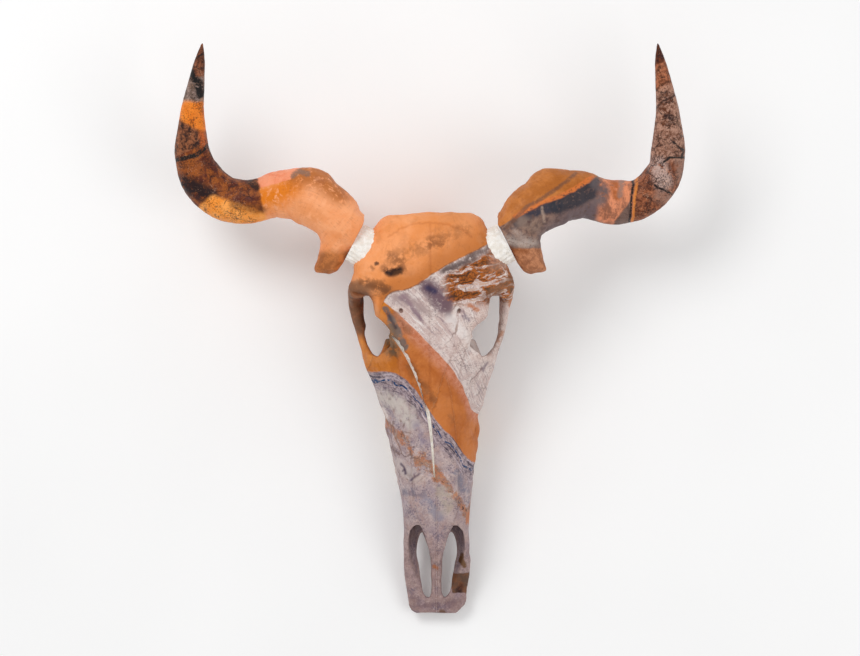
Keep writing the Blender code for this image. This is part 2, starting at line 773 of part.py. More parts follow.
def build():
    """Makes every bone and horn."""
    rest = keep_largest(whole_skull())
    thin_out(rest, SKULL_FACES)
    leaned(rest)
    bones = {}
    for word, side in SIDES.items():
        bones[f"zygomatic_{word}"] = taken(rest, cheek_region(side, 0.0), f"zygomatic_{word}")
        combine(rest, [cheek_region(side, SUTURE)], "DIFFERENCE")
    cranium = taken(rest, behind_suture(0.0), "cranium")
    combine(rest, [behind_suture(SUTURE)], "DIFFERENCE")
    combine(rest, [leaned(open_suture())], "DIFFERENCE")
    nasals = taken(rest, leaned(nasal_roof(0.0)), "nasals")
    combine(rest, [leaned(nasal_roof(SUTURE))], "DIFFERENCE")
    premaxillae = taken(rest, premaxilla_region(0.0), "premaxillae")
    combine(rest, [premaxilla_region(SUTURE)], "DIFFERENCE")
    combine(cranium, [horn_stump(side) for side in SIDES.values()], "UNION")
    bones["cranium"] = cranium
    for pair, name in ((nasals, "nasal"), (premaxillae, "premaxilla"), (rest, "maxilla")):
        for word, half in halves(pair, name).items():
            bones[f"{name}_{word}"] = half
    for word, side in SIDES.items():
        combine(bones[f"maxilla_{word}"], [leaned(one) for one in tooth_row(side)], "UNION")
    table = block("table", (-FAR, -FAR, -FAR), (FAR, FAR, 0.0))
    for bone in bones.values():
        combine(bone, [table], "DIFFERENCE", keep=True)
        painted(keep_largest(bone), BONE_COLOUR, 0.7)
    bpy.data.objects.remove(table)
    horns = [painted(horn(word, side), HORN_COLOUR, 0.5) for word, side in SIDES.items()]
    centred(list(bones.values()) + horns)


def main():
    """Clears the scene and builds the skull."""
    for obj in list(bpy.data.objects):
        bpy.data.objects.remove(obj)
    build()


main()
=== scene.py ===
"""A blue wildebeest skull without its lower jaw, face up on a pale table, as seen from straight above.

Lengths in the classes are in millimetres, and the meshes are in metres. X runs across the skull, -Y is the
nose, +Y is the crown and +Z is up out of the face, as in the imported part. The bone and horn carry stains in
the broad zones of colour of the photograph, with veins, cracks and specks of their own.
"""

import sys
import logging
import math
from collections.abc import Callable, Iterable, Sequence
from dataclasses import dataclass, field
from enum import Enum

import bmesh
import bpy
import numpy as np
from bpy.types import Material, Node, NodeSocket, NodeTree, Object
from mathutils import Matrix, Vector, bvhtree, kdtree, noise


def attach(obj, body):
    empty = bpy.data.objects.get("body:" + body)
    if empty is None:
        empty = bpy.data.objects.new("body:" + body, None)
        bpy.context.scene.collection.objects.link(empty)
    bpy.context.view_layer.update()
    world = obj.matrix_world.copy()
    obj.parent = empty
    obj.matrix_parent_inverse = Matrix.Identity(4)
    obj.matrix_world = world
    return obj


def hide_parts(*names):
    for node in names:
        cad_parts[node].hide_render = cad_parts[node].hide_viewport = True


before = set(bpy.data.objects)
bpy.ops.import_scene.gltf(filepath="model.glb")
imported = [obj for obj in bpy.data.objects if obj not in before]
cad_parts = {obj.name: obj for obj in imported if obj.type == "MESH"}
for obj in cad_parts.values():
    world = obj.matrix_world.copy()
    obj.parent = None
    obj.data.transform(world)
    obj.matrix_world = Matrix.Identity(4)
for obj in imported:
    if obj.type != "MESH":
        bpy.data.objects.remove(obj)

MM = 0.001
FAR = 400.0
SUTURE = 0.1  # gap between two bones
RING_SIDES = 40  # points round a form before it is melted
SHIFT = Vector((-0.074, 0.913, 0.0))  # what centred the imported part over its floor
UP = Vector((0.0, 0.0, 1.0))
ACROSS = Vector((1.0, 0.0, 0.0))
ALONG = Vector((0.0, 1.0, 0.0))
GLOSS = 0.016  # light that a surface's gloss adds to its colour
SEED = 7  # fixes where noise_vector is read, which otherwise changes with each run
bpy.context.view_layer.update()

Row = tuple[float, ...]
Point = tuple[float, float]
Place = tuple[float, float, float]
Ring = Callable[[float], Vector]

log = logging.getLogger("skull")


class Side(Enum):
    """The two sides of the skull as the picture shows them."""

    LEFT = -1.0
    RIGHT = 1.0

    @property
    def word(self) -> str:
        """The side's name as the CAD nodes spell it."""
        return self.name.lower()


class Cut(Enum):
    """What a Boolean does with two forms."""

    JOIN = "UNION"
    TAKE_AWAY = "DIFFERENCE"
    SHARE = "INTERSECT"


def smooth_row(rows: Sequence[Row], place: float) -> list[float]:
    """Reads a profile at a place, on a curve through its rows that never overshoots them.

    Args:
        rows: each row's place, then its values.
        place: where to read.

    Returns:
        The values there.
    """
    keys = [row[0] for row in rows]
    turn = 1.0 if keys[-1] > keys[0] else -1.0
    here = min(max(place * turn, keys[0] * turn), keys[-1] * turn)
    last = len(rows) - 2
    span = next(i for i in range(last + 1) if here <= keys[i + 1] * turn or i == last)
    width = abs(keys[span + 1] - keys[span])
    t = (here - keys[span] * turn) / width
    values = []
    for column in range(1, len(rows[0])):
        slopes = [
            (rows[i + 1][column] - rows[i][column]) / abs(keys[i + 1] - keys[i])
            for i in range(len(rows) - 1)
        ]
        ends = []
        for i in (span, span + 1):
            before, after = slopes[max(i - 1, 0)], slopes[min(i, last)]
            level = before * after <= 0.0
            ends.append(0.0 if level else 2.0 * before * after / (before + after))
        low, high = rows[span][column], rows[span + 1][column]
        values.append(
            low * (1.0 + 2.0 * t) * (1.0 - t) ** 2
            + width * ends[0] * t * (1.0 - t) ** 2
            + high * t * t * (3.0 - 2.0 * t)
            - width * ends[1] * t * t * (1.0 - t)
        )
    return values


@dataclass(frozen=True)
class Section:
    """One rounded cross-section of a form.

    Attributes:
        centre: its middle.
        side: the direction of its width.
        up: the direction of its height.
        half_width: half its width.
        half_height: half its height.
        power: 2 is round, and more is squarer.
        narrow: how much narrower its top is than its bottom, as a share.
        mirror: -1 turns it over to the other side of the skull.
    """

    centre: Vector
    side: Vector
    up: Vector
    half_width: float
    half_height: float
    power: float = 2.2
    narrow: float = 0.0
    mirror: float = 1.0

    def __call__(self, angle: float) -> Vector:
        """Gives the section's point at an angle.

        Args:
            angle: the angle in radians, from its side.

        Returns:
            The point.
        """
        parts = math.cos(angle), math.sin(angle)
        across, rise = (math.copysign(abs(part) ** (2.0 / self.power), part) for part in parts)
        across *= 1.0 - self.narrow * rise
        point = self.centre + self.side * (across * self.half_width) + self.up * (rise * self.half_height)
        return Vector((point.x * self.mirror, point.y, point.z))


def made_object(name: str, mesh: bmesh.types.BMesh) -> Object:
    """Puts a bmesh in the scene.

    Args:
        name: the new object's name.
        mesh: the bmesh, which is freed.

    Returns:
        The object, with a slot for weathered and one for freshly bared bone.
    """
    data = bpy.data.meshes.new(name)
    mesh.to_mesh(data)
    mesh.free()
    for word in ("weathered", "bared"):
        data.materials.append(bpy.data.materials.get(word) or bpy.data.materials.new(word))
    made = bpy.data.objects.new(name, data)
    bpy.context.scene.collection.objects.link(made)
    return made


def skin(name: str, rings: Iterable[Ring], sides: int = RING_SIDES) -> Object:
    """Makes a closed form through rings.

    Args:
        name: the form's name.
        rings: each gives its point at an angle, in millimetres.
        sides: points round each ring.

    Returns:
        The form.
    """
    mesh = bmesh.new()
    loops: list[list[bmesh.types.BMEdge]] = []
    for ring in rings:
        circle = bmesh.ops.create_circle(mesh, cap_ends=False, radius=1.0, segments=sides)["verts"]
        for corner in circle:
            corner.co = ring(math.atan2(corner.co.y, corner.co.x) % math.tau) * MM
        loops.append(list(dict.fromkeys(edge for corner in circle for edge in corner.link_edges)))
        if len(loops) > 1:
            bmesh.ops.bridge_loops(mesh, edges=loops[-2] + loops[-1])
    for loop in (loops[0], loops[-1]):
        bmesh.ops.edgeloop_fill(mesh, edges=loop)
    bmesh.ops.recalc_face_normals(mesh, faces=mesh.faces)
    return made_object(name, mesh)


def loft(name: str, rows: Sequence[Row], step: float = 3.0, power: float = 2.2) -> Object:
    """Makes a form along Y from rows of place, half width, top, bottom and narrowing.

    Args:
        name: the form's name.
        rows: its profile.
        step: distance between rings.
        power: how square its sections are.

    Returns:
        The form.
    """
    low, high = sorted((rows[0][0], rows[-1][0]))
    count = max(2, round((high - low) / step))
    rings = []
    for i in range(count + 1):
        place = low + (high - low) * i / count
        half_width, top, bottom, narrow = smooth_row(rows, place)
        centre = Vector((0.0, place, (top + bottom) / 2.0))
        rings.append(Section(centre, ACROSS, UP, half_width, (top - bottom) / 2.0, power, narrow))
    return skin(name, rings)


def path_places(rows: Sequence[Row], steps: int) -> list[list[float]]:
    """Reads a path of rows at even steps, with the given number between two rows."""
    keyed = [(float(i), *row) for i, row in enumerate(rows)]
    return [smooth_row(keyed, i / steps) for i in range(steps * (len(rows) - 1) + 1)]


def sweep(name: str, rows: Sequence[Row], mirror: float = 1.0, steps: int = 6, power: float = 2.0,
          sides: int = 24, up: Vector = UP) -> Object:
    """Makes a form along a path.

    Args:
        name: the form's name.
        rows: x, y, z, half thickness across and half thickness up at each stop.
        mirror: -1 for the other side of the skull.
        steps: rings between two stops.
        power: how square its sections are.
        sides: points round each ring.
        up: the direction that its height keeps to.

    Returns:
        The form.
    """
    points = path_places(rows, steps)
    rings = []
    for i, (x, y, z, across, tall) in enumerate(points):
        before, after = points[max(i - 1, 0)], points[min(i + 1, len(points) - 1)]
        ahead = (Vector(after[:3]) - Vector(before[:3])).normalized()
        sideways = ahead.cross(up).normalized()
        upward = sideways.cross(ahead)
        rings.append(Section(Vector((x, y, z)), sideways, upward, across, tall, power, mirror=mirror))
    return skin(name, rings, sides)


def ball(name: str, centre: Place, radii: Place, mirror: float = 1.0) -> Object:
    """Makes an egg shape.

    Args:
        name: the shape's name.
        centre: its middle.
        radii: its three radii.
        mirror: -1 for the other side of the skull.

    Returns:
        The shape.
    """
    mesh = bmesh.new()
    bmesh.ops.create_icosphere(mesh, subdivisions=4, radius=1.0)
    bmesh.ops.scale(mesh, vec=Vector(radii) * MM, verts=mesh.verts)
    middle = Vector((centre[0] * mirror, centre[1], centre[2]))
    bmesh.ops.translate(mesh, vec=middle * MM, verts=mesh.verts)
    return made_object(name, mesh)


def block(name: str, low: Place, high: Place) -> Object:
    """Makes a box between two corners.

    Args:
        name: the box's name.
        low: its lowest corner.
        high: its highest corner.

    Returns:
        The box.
    """
    mesh = bmesh.new()
    bmesh.ops.create_cube(mesh, size=1.0)
    bmesh.ops.scale(mesh, vec=(Vector(high) - Vector(low)) * MM, verts=mesh.verts)
    bmesh.ops.translate(mesh, vec=(Vector(high) + Vector(low)) / 2.0 * MM, verts=mesh.verts)
    return made_object(name, mesh)


def prism(name: str, outline: Iterable[Place], push: Place) -> Object:
    """Makes an upright or sideways block from an outline.

    Args:
        name: the block's name.
        outline: corners that lie in one plane.
        push: how far, and which way, the outline is drawn out.

    Returns:
        The block.
    """
    mesh = bmesh.new()
    face = mesh.faces.new([mesh.verts.new(Vector(corner) * MM) for corner in outline])
    grown = bmesh.ops.extrude_face_region(mesh, geom=[face])
    ends = [v for v in grown["geom"] if isinstance(v, bmesh.types.BMVert)]
    bmesh.ops.translate(mesh, vec=Vector(push) * MM, verts=ends)
    bmesh.ops.recalc_face_normals(mesh, faces=mesh.faces)
    return made_object(name, mesh)


def upright(name: str, outline: Iterable[Point], low: float, high: float) -> Object:
    """Makes a block that stands between two heights over an outline seen from above."""
    return prism(name, [(x, y, low) for x, y in outline], (0.0, 0.0, high - low))


def settled(obj: Object) -> Object:
    """Applies an object's modifiers and returns it.

    Args:
        obj: the object.

    Returns:
        The same object.
    """
    graph = bpy.context.evaluated_depsgraph_get()
    data = bpy.data.meshes.new_from_object(obj.evaluated_get(graph))
    obj.modifiers.clear()
    obj.data = data
    return obj


def combine(obj: Object, others: Sequence[Object], cut: Cut, keep: bool = False) -> Object:
    """Joins others to a form, takes them away from it, or keeps what they share.

    Args:
        obj: the form that changes.
        others: the forms that it meets.
        cut: what to do.
        keep: whether the others stay in the scene.

    Returns:
        The changed form.
    """
    tools = bpy.data.collections.new("tools")
    bpy.context.scene.collection.children.link(tools)
    for other in others:
        tools.objects.link(other)
    step = obj.modifiers.new(cut.name, "BOOLEAN")
    step.operation = cut.value
    step.operand_type = "COLLECTION"
    step.collection = tools
    step.solver = "MANIFOLD"
    settled(obj)
    bpy.data.collections.remove(tools)
    if not keep:
        for other in others:
            bpy.data.objects.remove(other)
    return obj


def melted(obj: Object, voxel: float, passes: int) -> Object:
    """Runs joined forms together into one smooth surface.

    Args:
        obj: the joined forms.
        voxel: size of the grid.
        passes: how often the surface is eased.

    Returns:
        The melted form.
    """
    grid = obj.modifiers.new("melt", "REMESH")
    grid.mode = "VOXEL"
    grid.voxel_size = voxel * MM
    ease = obj.modifiers.new("ease", "SMOOTH")
    ease.factor = 0.5
    ease.iterations = passes
    return settled(obj)


def taken(rest: Object, region: Object, name: str) -> Object:
    """Copies the share of a form that lies inside a region.

    Args:
        rest: the form.
        region: the space.
        name: the copy's name.

    Returns:
        The copy.
    """
    twin = bpy.data.objects.new(name, rest.data.copy())
    bpy.context.scene.collection.objects.link(twin)
    return combine(twin, [region], Cut.SHARE)


def largest_only(obj: Object) -> Object:
    """Drops what a cut has left loose and returns the object.

    Args:
        obj: the cut form.

    Returns:
        The same object.
    """
    mesh = bmesh.new()
    mesh.from_mesh(obj.data)
    left = dict.fromkeys(mesh.verts)
    groups = []
    while left:
        todo = [left.popitem()[0]]
        group = set(todo)
        while todo:
            for edge in todo.pop().link_edges:
                for near in edge.verts:
                    if near in left:
                        del left[near]
                        group.add(near)
                        todo.append(near)
        groups.append(group)
    largest = max(groups, key=len)
    bmesh.ops.delete(mesh, geom=[v for v in mesh.verts if v not in largest], context="VERTS")
    mesh.to_mesh(obj.data)
    mesh.free()
    return obj


def points_of(obj: Object) -> np.ndarray:
    """Reads an object's vertices in millimetres, one row each.

    Args:
        obj: the object.

    Returns:
        The vertices.
    """
    flat = np.empty(len(obj.data.vertices) * 3, np.float32)
    obj.data.vertices.foreach_get("co", flat)
    return flat.reshape(-1, 3).astype(np.float64) / MM


def set_points(obj: Object, points: np.ndarray) -> None:
    """Puts an object's vertices at points given in millimetres."""
    obj.data.vertices.foreach_set("co", (points * MM).astype(np.float32).ravel())
    obj.data.update()


def normals_of(obj: Object) -> np.ndarray:
    """Reads the direction that each vertex faces, one row each.

    Args:
        obj: the object.

    Returns:
        The directions.
    """
    flat = np.empty(len(obj.data.vertices) * 3, np.float32)
    obj.data.vertex_normals.foreach_get("vector", flat)
    return flat.reshape(-1, 3).astype(np.float64)


def relaxed(obj: Object, points: np.ndarray, passes: int) -> np.ndarray:
    """Evens out a surface by drawing each vertex to the middle of its neighbours.

    Args:
        obj: the object, for its edges.
        points: its vertices.
        passes: how often they are drawn in.

    Returns:
        The eased vertices.
    """
    flat = np.empty(len(obj.data.edges) * 2, np.int32)
    obj.data.edges.foreach_get("vertices", flat)
    first, second = flat.reshape(-1, 2).T
    count = len(points)
    shared = np.bincount(first, minlength=count) + np.bincount(second, minlength=count)
    for _ in range(passes):
        total = np.empty((count, 3))
        for axis in range(3):
            total[:, axis] = np.bincount(first, points[second, axis], count)
            total[:, axis] += np.bincount(second, points[first, axis], count)
        points = 0.4 * points + 0.6 * total / np.maximum(shared, 1)[:, None]
    return points


def store(obj: Object, name: str, values: np.ndarray) -> None:
    """Keeps a number, or a vector in metres, for each vertex under a name that materials read.

    Args:
        obj: the object.
        name: the layer's name.
        values: a number or a vector for each vertex.
    """
    kind, key = ("FLOAT", "value") if values.ndim == 1 else ("FLOAT_VECTOR", "vector")
    layer = obj.data.attributes.new(name, kind, "POINT")
    layer.data.foreach_set(key, values.astype(np.float32).ravel())


def ripples(points: np.ndarray, size: float, seed: float) -> np.ndarray:
    """Gives smooth noise of a size, from about -1 to 1, at each point."""
    offset = Vector((seed * 17.3, seed * 5.9, seed * 11.1))
    return np.array([noise.noise(Vector(point) / size + offset) for point in points.tolist()])


def nearest(points: np.ndarray, samples: Sequence[Vector]) -> tuple[np.ndarray, np.ndarray]:
    """Finds the nearest of some samples to each point.

    Args:
        points: where to look from.
        samples: what to look for.

    Returns:
        The distance to the nearest sample, and its number, for each point.
    """
    tree = kdtree.KDTree(len(samples))
    for i, sample in enumerate(samples):
        tree.insert(sample, i)
    tree.balance()
    found = [tree.find(point) for point in points.tolist()]
    return np.array([hit[2] for hit in found]), np.array([hit[1] for hit in found])


def bell(distance: np.ndarray, width: float) -> np.ndarray:
    """Falls smoothly from 1 at no distance to nearly 0 at twice the width."""
    return np.exp(-((distance / width) ** 2))


def ease_step(values: np.ndarray, low: float, high: float) -> np.ndarray:
    """Rises smoothly from 0 at low to 1 at high."""
    t = np.clip((values - low) / (high - low), 0.0, 1.0)
    return t * t * (3.0 - 2.0 * t)


def walked(line: Sequence[Point], pitch: float) -> list[Point]:
    """Puts points along a line at an even pitch, with its own corners kept.

    Args:
        line: its corners.
        pitch: the distance between points.

    Returns:
        The points.
    """
    points = [line[0]]
    for start, end in zip(line, line[1:]):
        count = max(1, round(math.dist(start, end) / pitch))
        points += [
            (start[0] + (end[0] - start[0]) * i / count, start[1] + (end[1] - start[1]) * i / count)
            for i in range(1, count + 1)
        ]
    return points


def jagged(line: Sequence[Point], swing: float, wave: float, seed: float) -> list[Point]:
    """Gives a line the small turns of a suture between two bones.

    Args:
        line: the smooth line.
        swing: how far the turns reach to each side.
        wave: the length of a turn.
        seed: makes this line unlike the others.

    Returns:
        The line with its turns. Its ends stay.
    """
    points = walked(line, 1.1)
    bent = []
    for i, (x, y) in enumerate(points):
        before, after = points[max(i - 1, 0)], points[min(i + 1, len(points) - 1)]
        length = math.dist(before, after)
        fade = min(1.0, i / 6.0, (len(points) - 1 - i) / 6.0)
        push = swing * fade * noise.noise(Vector((x / wave, y / wave, seed))) * 2.0
        bent.append((x - (after[1] - before[1]) / length * push, y + (after[0] - before[0]) / length * push))
    return bent


@dataclass(frozen=True)
class Lean:
    """How the nose leans aside.

    Attributes:
        reach: how far it leans.
        start: where along the skull the lean starts.
        end: where it is whole.
    """

    reach: float = 7.5
    start: float = -40.0
    end: float = -215.0

    def at(self, place: float) -> float:
        """Gives how far aside the middle of the skull lies at a place along it."""
        t = min(max((place - self.start) / (self.end - self.start), 0.0), 1.0)
        return self.reach * t * t * (3.0 - 2.0 * t)

    def bend(self, obj: Object) -> Object:
        """Moves a form aside, a little more the further forward, and returns it.

        Args:
            obj: the form.

        Returns:
            The same object.
        """
        points = points_of(obj)
        t = np.clip((points[:, 1] - self.start) / (self.end - self.start), 0.0, 1.0)
        points[:, 0] += self.reach * t * t * (3.0 - 2.0 * t)
        set_points(obj, points)
        return obj


LEAN = Lean()


@dataclass(frozen=True)
class Pull:
    """A small move of the surface along a line seen from above, for what is uneven in this one skull.

    Attributes:
        start, end: the line.
        move: how far the surface moves across and along.
        reach: how far from the line the move fades.
    """

    start: Point
    end: Point
    move: Point
    reach: float


def pulled(obj: Object, pulls: Sequence[Pull]) -> Object:
    """Moves an object's surface by small pulls and returns it.

    Args:
        obj: the object.
        pulls: the pulls.

    Returns:
        The same object.
    """
    points = points_of(obj)
    flat = points[:, :2].copy()
    for pull in pulls:
        start = np.array(pull.start)
        run = np.array(pull.end) - start
        share = np.clip((flat - start) @ run / max(float(run @ run), 0.001), 0.0, 1.0)
        apart = np.linalg.norm(flat - start - share[:, None] * run, axis=1)
        points[:, :2] += bell(apart, pull.reach)[:, None] * np.array(pull.move)
    set_points(obj, points)
    return obj


SKULL_PULLS = (
    Pull((-64, 122), (-62, 112), (1.6, 0), 9), Pull((-92, 62), (-92, 55), (4, 0), 8),
    Pull((-77.5, 36), (-77, 4), (4.3, 0), 6), Pull((-76.5, -4), (-70, -20), (2.4, 0.6), 6),
    Pull((-93, 30), (-90, -4), (-1.2, 0), 7), Pull((-57, -14), (-55, -28), (1.8, 0), 5),
    Pull((62, 30), (61, 12), (3.4, 0), 6), Pull((56, 6), (46, -6), (1.6, -1.6), 6),
    Pull((95, 66), (93, 34), (2, 0), 8), Pull((82, 8), (79, -14), (1.2, 0), 5),
    Pull((-22, -324), (-22, -324), (-2.4, -1.8), 8), Pull((44, -270), (44, -310), (1.2, 0), 8),
    Pull((-20, -327), (34, -327), (0, -1.7), 7), Pull((42, -318), (42, -318), (2.6, -2), 7),
    Pull((-51, -96), (-50, -118), (2.6, 0), 8), Pull((57, -102), (55, -120), (-3.2, 0), 8),
    Pull((48, -150), (47, -235), (-1.2, 0), 8), Pull((-33, -180), (-33, -235), (1, 0), 8),
    Pull((25, 132), (57, 127), (0.4, 1.8), 8),
)


@dataclass
class NasalProfile:
    """The pair of nasal bones, which roofs the nose.

    Attributes:
        rows: place, half width of the pair, top and thickness.
        tips_from: where the part that reaches over the nose starts.
        swing: how far the turns of its borders reach.
    """

    rows: tuple[Row, ...] = (
        (-50, 16, 137.5, 12), (-75, 23, 132.5, 12), (-110, 26, 123.5, 12), (-160, 27.5, 108, 10),
        (-200, 26, 94, 8), (-225, 20.5, 85, 7), (-242, 13.2, 79, 6), (-258, 8.8, 73.5, 5.5),
        (-272, 3.5, 69, 5),
    )
    tips_from: float = -170.0
    swing: float = 0.55

    def half(self, place: float, side: float) -> float:
        """Gives how wide one bone of the pair is at a place, with the turns of its border."""
        turn = 2.0 * self.swing * noise.noise(Vector((place / 4.5, side * 3.0, 8.0)))
        return smooth_row(self.rows, place)[0] + turn

    def region(self, grow: float) -> Object:
        """Makes the space that the pair is cut out with, wider by a gap.

        Args:
            grow: the gap in millimetres.

        Returns:
            The space.
        """
        first, last = self.rows[0][0], self.rows[-1][0]
        steps = 150
        rings = []
        for i in range(steps + 1):
            place = first + (last - first) * i / steps
            _, top, thick = smooth_row(self.rows, place)
            halves = {side: self.half(place, side) + grow for side in (-1.0, 1.0)}
            corners = []
            for t in (1.0, 0.5, 0.001, -0.5, -1.0):
                low = top - thick - grow - 0.15 * abs(t * t) * halves[1.0]
                corners.append(Vector((halves[math.copysign(1.0, t)] * t, place, low)))
            for t in (-1.0, 0.001, 1.0):
                corners.append(Vector((halves[math.copysign(1.0, t)] * t, place, top + 20.0)))
            rings.append(lambda angle, corners=corners: corners[round(angle / math.tau * 8.0) % 8])
        return LEAN.bend(skin("nasal_region", rings, 8))

    def tips(self) -> Object:
        """Makes the thin roof that reaches over the nose.

        Returns:
            The roof.
        """
        steps = 40
        rings = []
        for i in range(steps + 1):
            place = self.tips_from + (self.rows[-1][0] - self.tips_from) * i / steps
            half, top, thick = smooth_row(self.rows, place)
            centre = Vector((0.0, place, top - thick * 0.5 - 0.2 * half))
            rings.append(Section(centre, ACROSS, UP, half, thick * 0.5 + 0.2 * half, 2.4, 0.12))
        return skin("nasal_tips", rings)


@dataclass
class BoneBlank:
    """All the bone in one surface, before it is parted into bones.

    Attributes:
        voxel: the grid that melts its forms together.
        passes: how often the melted surface is eased.
        brow, braincase, temple, face, base: profiles of place, half width, top, bottom and narrowing.
        cavity, choana, vault: the same, for the hollows of the nose, behind the palate and under it.
        fissure: place, middle and half width of the slit in the palate.
        slot: the see-through part of the eye socket, seen from above.
    """

    voxel: float = 1.5
    passes: int = 8
    brow: tuple[Row, ...] = (
        (129.6, 47, 150, 122, 0.1), (123, 58.5, 157, 116, 0.1), (105, 70, 163, 112, 0.1),
        (87, 79, 166, 110, 0.08), (68, 89.5, 165, 112, 0.05), (45, 95.5, 160, 118, 0.02),
        (39, 84, 158.5, 120, 0), (33, 68, 157, 122, 0), (13, 63.5, 153, 124, 0), (-4, 50, 149, 122, 0),
        (-30, 44, 142.5, 110, 0), (-58, 40, 133.5, 100, 0), (-85, 34, 120, 90, 0),
    )
    braincase: tuple[Row, ...] = (
        (129.5, 42, 140, 44, -0.08), (121, 51, 150, 35, -0.1), (98, 54, 156, 32, -0.06),
        (66, 46, 156, 34, 0), (30, 35, 150, 42, 0), (0, 29, 146, 52, 0), (-40, 27, 138, 58, 0),
    )
    temple: tuple[Row, ...] = (
        (128.5, 40, 146, 84, -0.12), (118, 53, 150, 74, -0.18), (96, 60, 152, 68, -0.24),
        (70, 62, 152, 74, -0.3), (50, 56, 150, 86, -0.34), (36, 42, 148, 104, -0.3),
    )
    face: tuple[Row, ...] = (
        (-13, 57, 139, 78, 0.22), (-34, 72, 139.5, 66, 0.24), (-42, 71, 138.5, 56, 0.26),
        (-60, 64, 135, 40, 0.3), (-79, 58.4, 131, 26, 0.3), (-106, 52.4, 124, 20, 0.28),
        (-143, 47.2, 112.5, 19, 0.24), (-180, 42.5, 100, 18, 0.18), (-217, 39.2, 87, 17, 0.12),
        (-240, 38.6, 76, 16, 0.08), (-262, 38.6, 54, 15, 0.04), (-285, 37.8, 38, 13.5, 0),
        (-305, 35, 27, 12, 0), (-318, 31, 22, 12.5, 0), (-328.5, 23.5, 18, 14, 0),
    )
    base: tuple[Row, ...] = (
        (122, 23, 56, 27, -0.2), (100, 20, 56, 24, -0.2), (60, 16, 62, 28, -0.1), (10, 12, 72, 42, 0),
        (-30, 10, 84, 54, 0),
    )
    cavity: tuple[Row, ...] = (
        (-150, 10, 84, 44, 0), (-180, 20, 92, 28, 0.1), (-217, 29, 82, 22, 0.1), (-240, 32, 92, 21, 0),
        (-262, 32.5, 96, 20.5, 0), (-285, 30, 90, 20.5, 0), (-304, 22, 84, 21, 0), (-313, 8, 80, 24, 0),
    )
    choana: tuple[Row, ...] = (
        (26, 11, 56, 20, 0), (-40, 12, 60, 16, 0), (-80, 12.5, 56, 14, 0), (-112, 9, 50, 30, 0),
    )
    vault: tuple[Row, ...] = (
        (-75, 27, 26, 2, 0.3), (-120, 25, 25, 2, 0.3), (-185, 20, 22.5, 2, 0.3), (-228, 14, 19.5, 2, 0.3),
    )
    fissure: tuple[Row, ...] = (
        (-235.5, 17, 0.8), (-246, 17, 5), (-262, 15.6, 7.8), (-276, 13.6, 7), (-295, 11.8, 6),
        (-307, 10.6, 4.6), (-312.5, 9.4, 1.6),
    )
    slot: tuple[Point, ...] = (
        (71.5, 37), (66.5, 30), (63, 13), (52, 4), (45, -5), (52.5, -15), (56, -24), (59.5, -34.5),
        (66, -31), (73.5, -22), (77.5, -8), (79, 12), (78.5, 33),
    )
    socket: tuple[Place, Place] = ((64, 2, 111), (37, 34, 29))
    cheek_bar: tuple[Row, ...] = (
        (62, -50, 82, 9, 17), (70, -34, 81, 7, 15.5), (75.5, -22, 79.5, 4.8, 13.5), (81, -5, 78, 4.6, 12),
        (85, 14, 77, 5.4, 12), (86.5, 34, 77, 6.4, 12.5), (82, 54, 75, 5.6, 9.5), (72, 70, 73, 6, 9),
        (56, 80, 73, 9, 10), (38, 84, 76, 12, 13),
    )
    socket_post: tuple[Row, ...] = (
        (85.5, 30, 78, 5.5, 13), (88, 37, 97, 5.5, 9), (88.5, 43, 116, 6, 10), (85, 50, 138, 9, 18),
    )
    pterygoid: tuple[Row, ...] = (
        (-86, 15.5, 3, 26, 72), (-55, 15, 2.6, 27, 76), (-20, 14.5, 2.6, 30, 80), (16, 14, 2.8, 40, 80),
        (34, 13, 3, 54, 78),
    )
    condyle: tuple[Place, Place] = ((20.5, 117.5, 40), (12.5, 13.5, 16.5))
    bulla: tuple[Place, Place] = ((30, 76, 32), (10.5, 18, 14))
    face_tuber: tuple[Place, Place] = ((50, -112, 50), (7, 17, 9))
    ear_tube: tuple[Row, ...] = ((38, 84, 56, 8, 8), (62, 90, 67, 6.5, 6.5))
    ear_process: tuple[Row, ...] = (
        (46, 102, 84, 10, 16), (48, 105, 56, 9, 16), (45, 107, 34, 6.4, 13), (41, 104, 13, 4.8, 9),
        (39.5, 102, -8, 4.4, 8),
    )
    crest: tuple[Row, ...] = (
        (0, 124.6, 142, 6, 8), (36, 121, 139, 6, 8), (52, 115, 122, 5.5, 7.5), (56.5, 106, 92, 5.5, 7.5),
        (52, 100, 62, 6, 7),
    )
    nape_ridge: tuple[Row, ...] = ((0, 126, 134, 5, 5), (0, 128, 112, 3.2, 3.6), (0, 127, 88, 2.4, 2.6))
    great_hole: tuple[Place, Place] = ((0, 132, 56), (12.5, 34, 12))
    row_start: float = -184.0
    row_length: float = 99.0
    row_inside: Point = (25.0, 30.0)
    holes: tuple[tuple[Row, ...], ...] = (
        ((52, -169, 50, 3.6, 3.8), (44, -158, 52, 3.2, 3.4), (36, -140, 54, 2.6, 2.8)),
        ((33, 14, 160, 2.4, 2.6), (33.5, 21, 150, 2.3, 2.5), (35, 32, 138, 2, 2.2)),
        ((74, 94, 72, 3.8, 3.8), (60, 89.5, 66, 3.6, 3.6), (48, 86, 61, 3, 3)),
    )

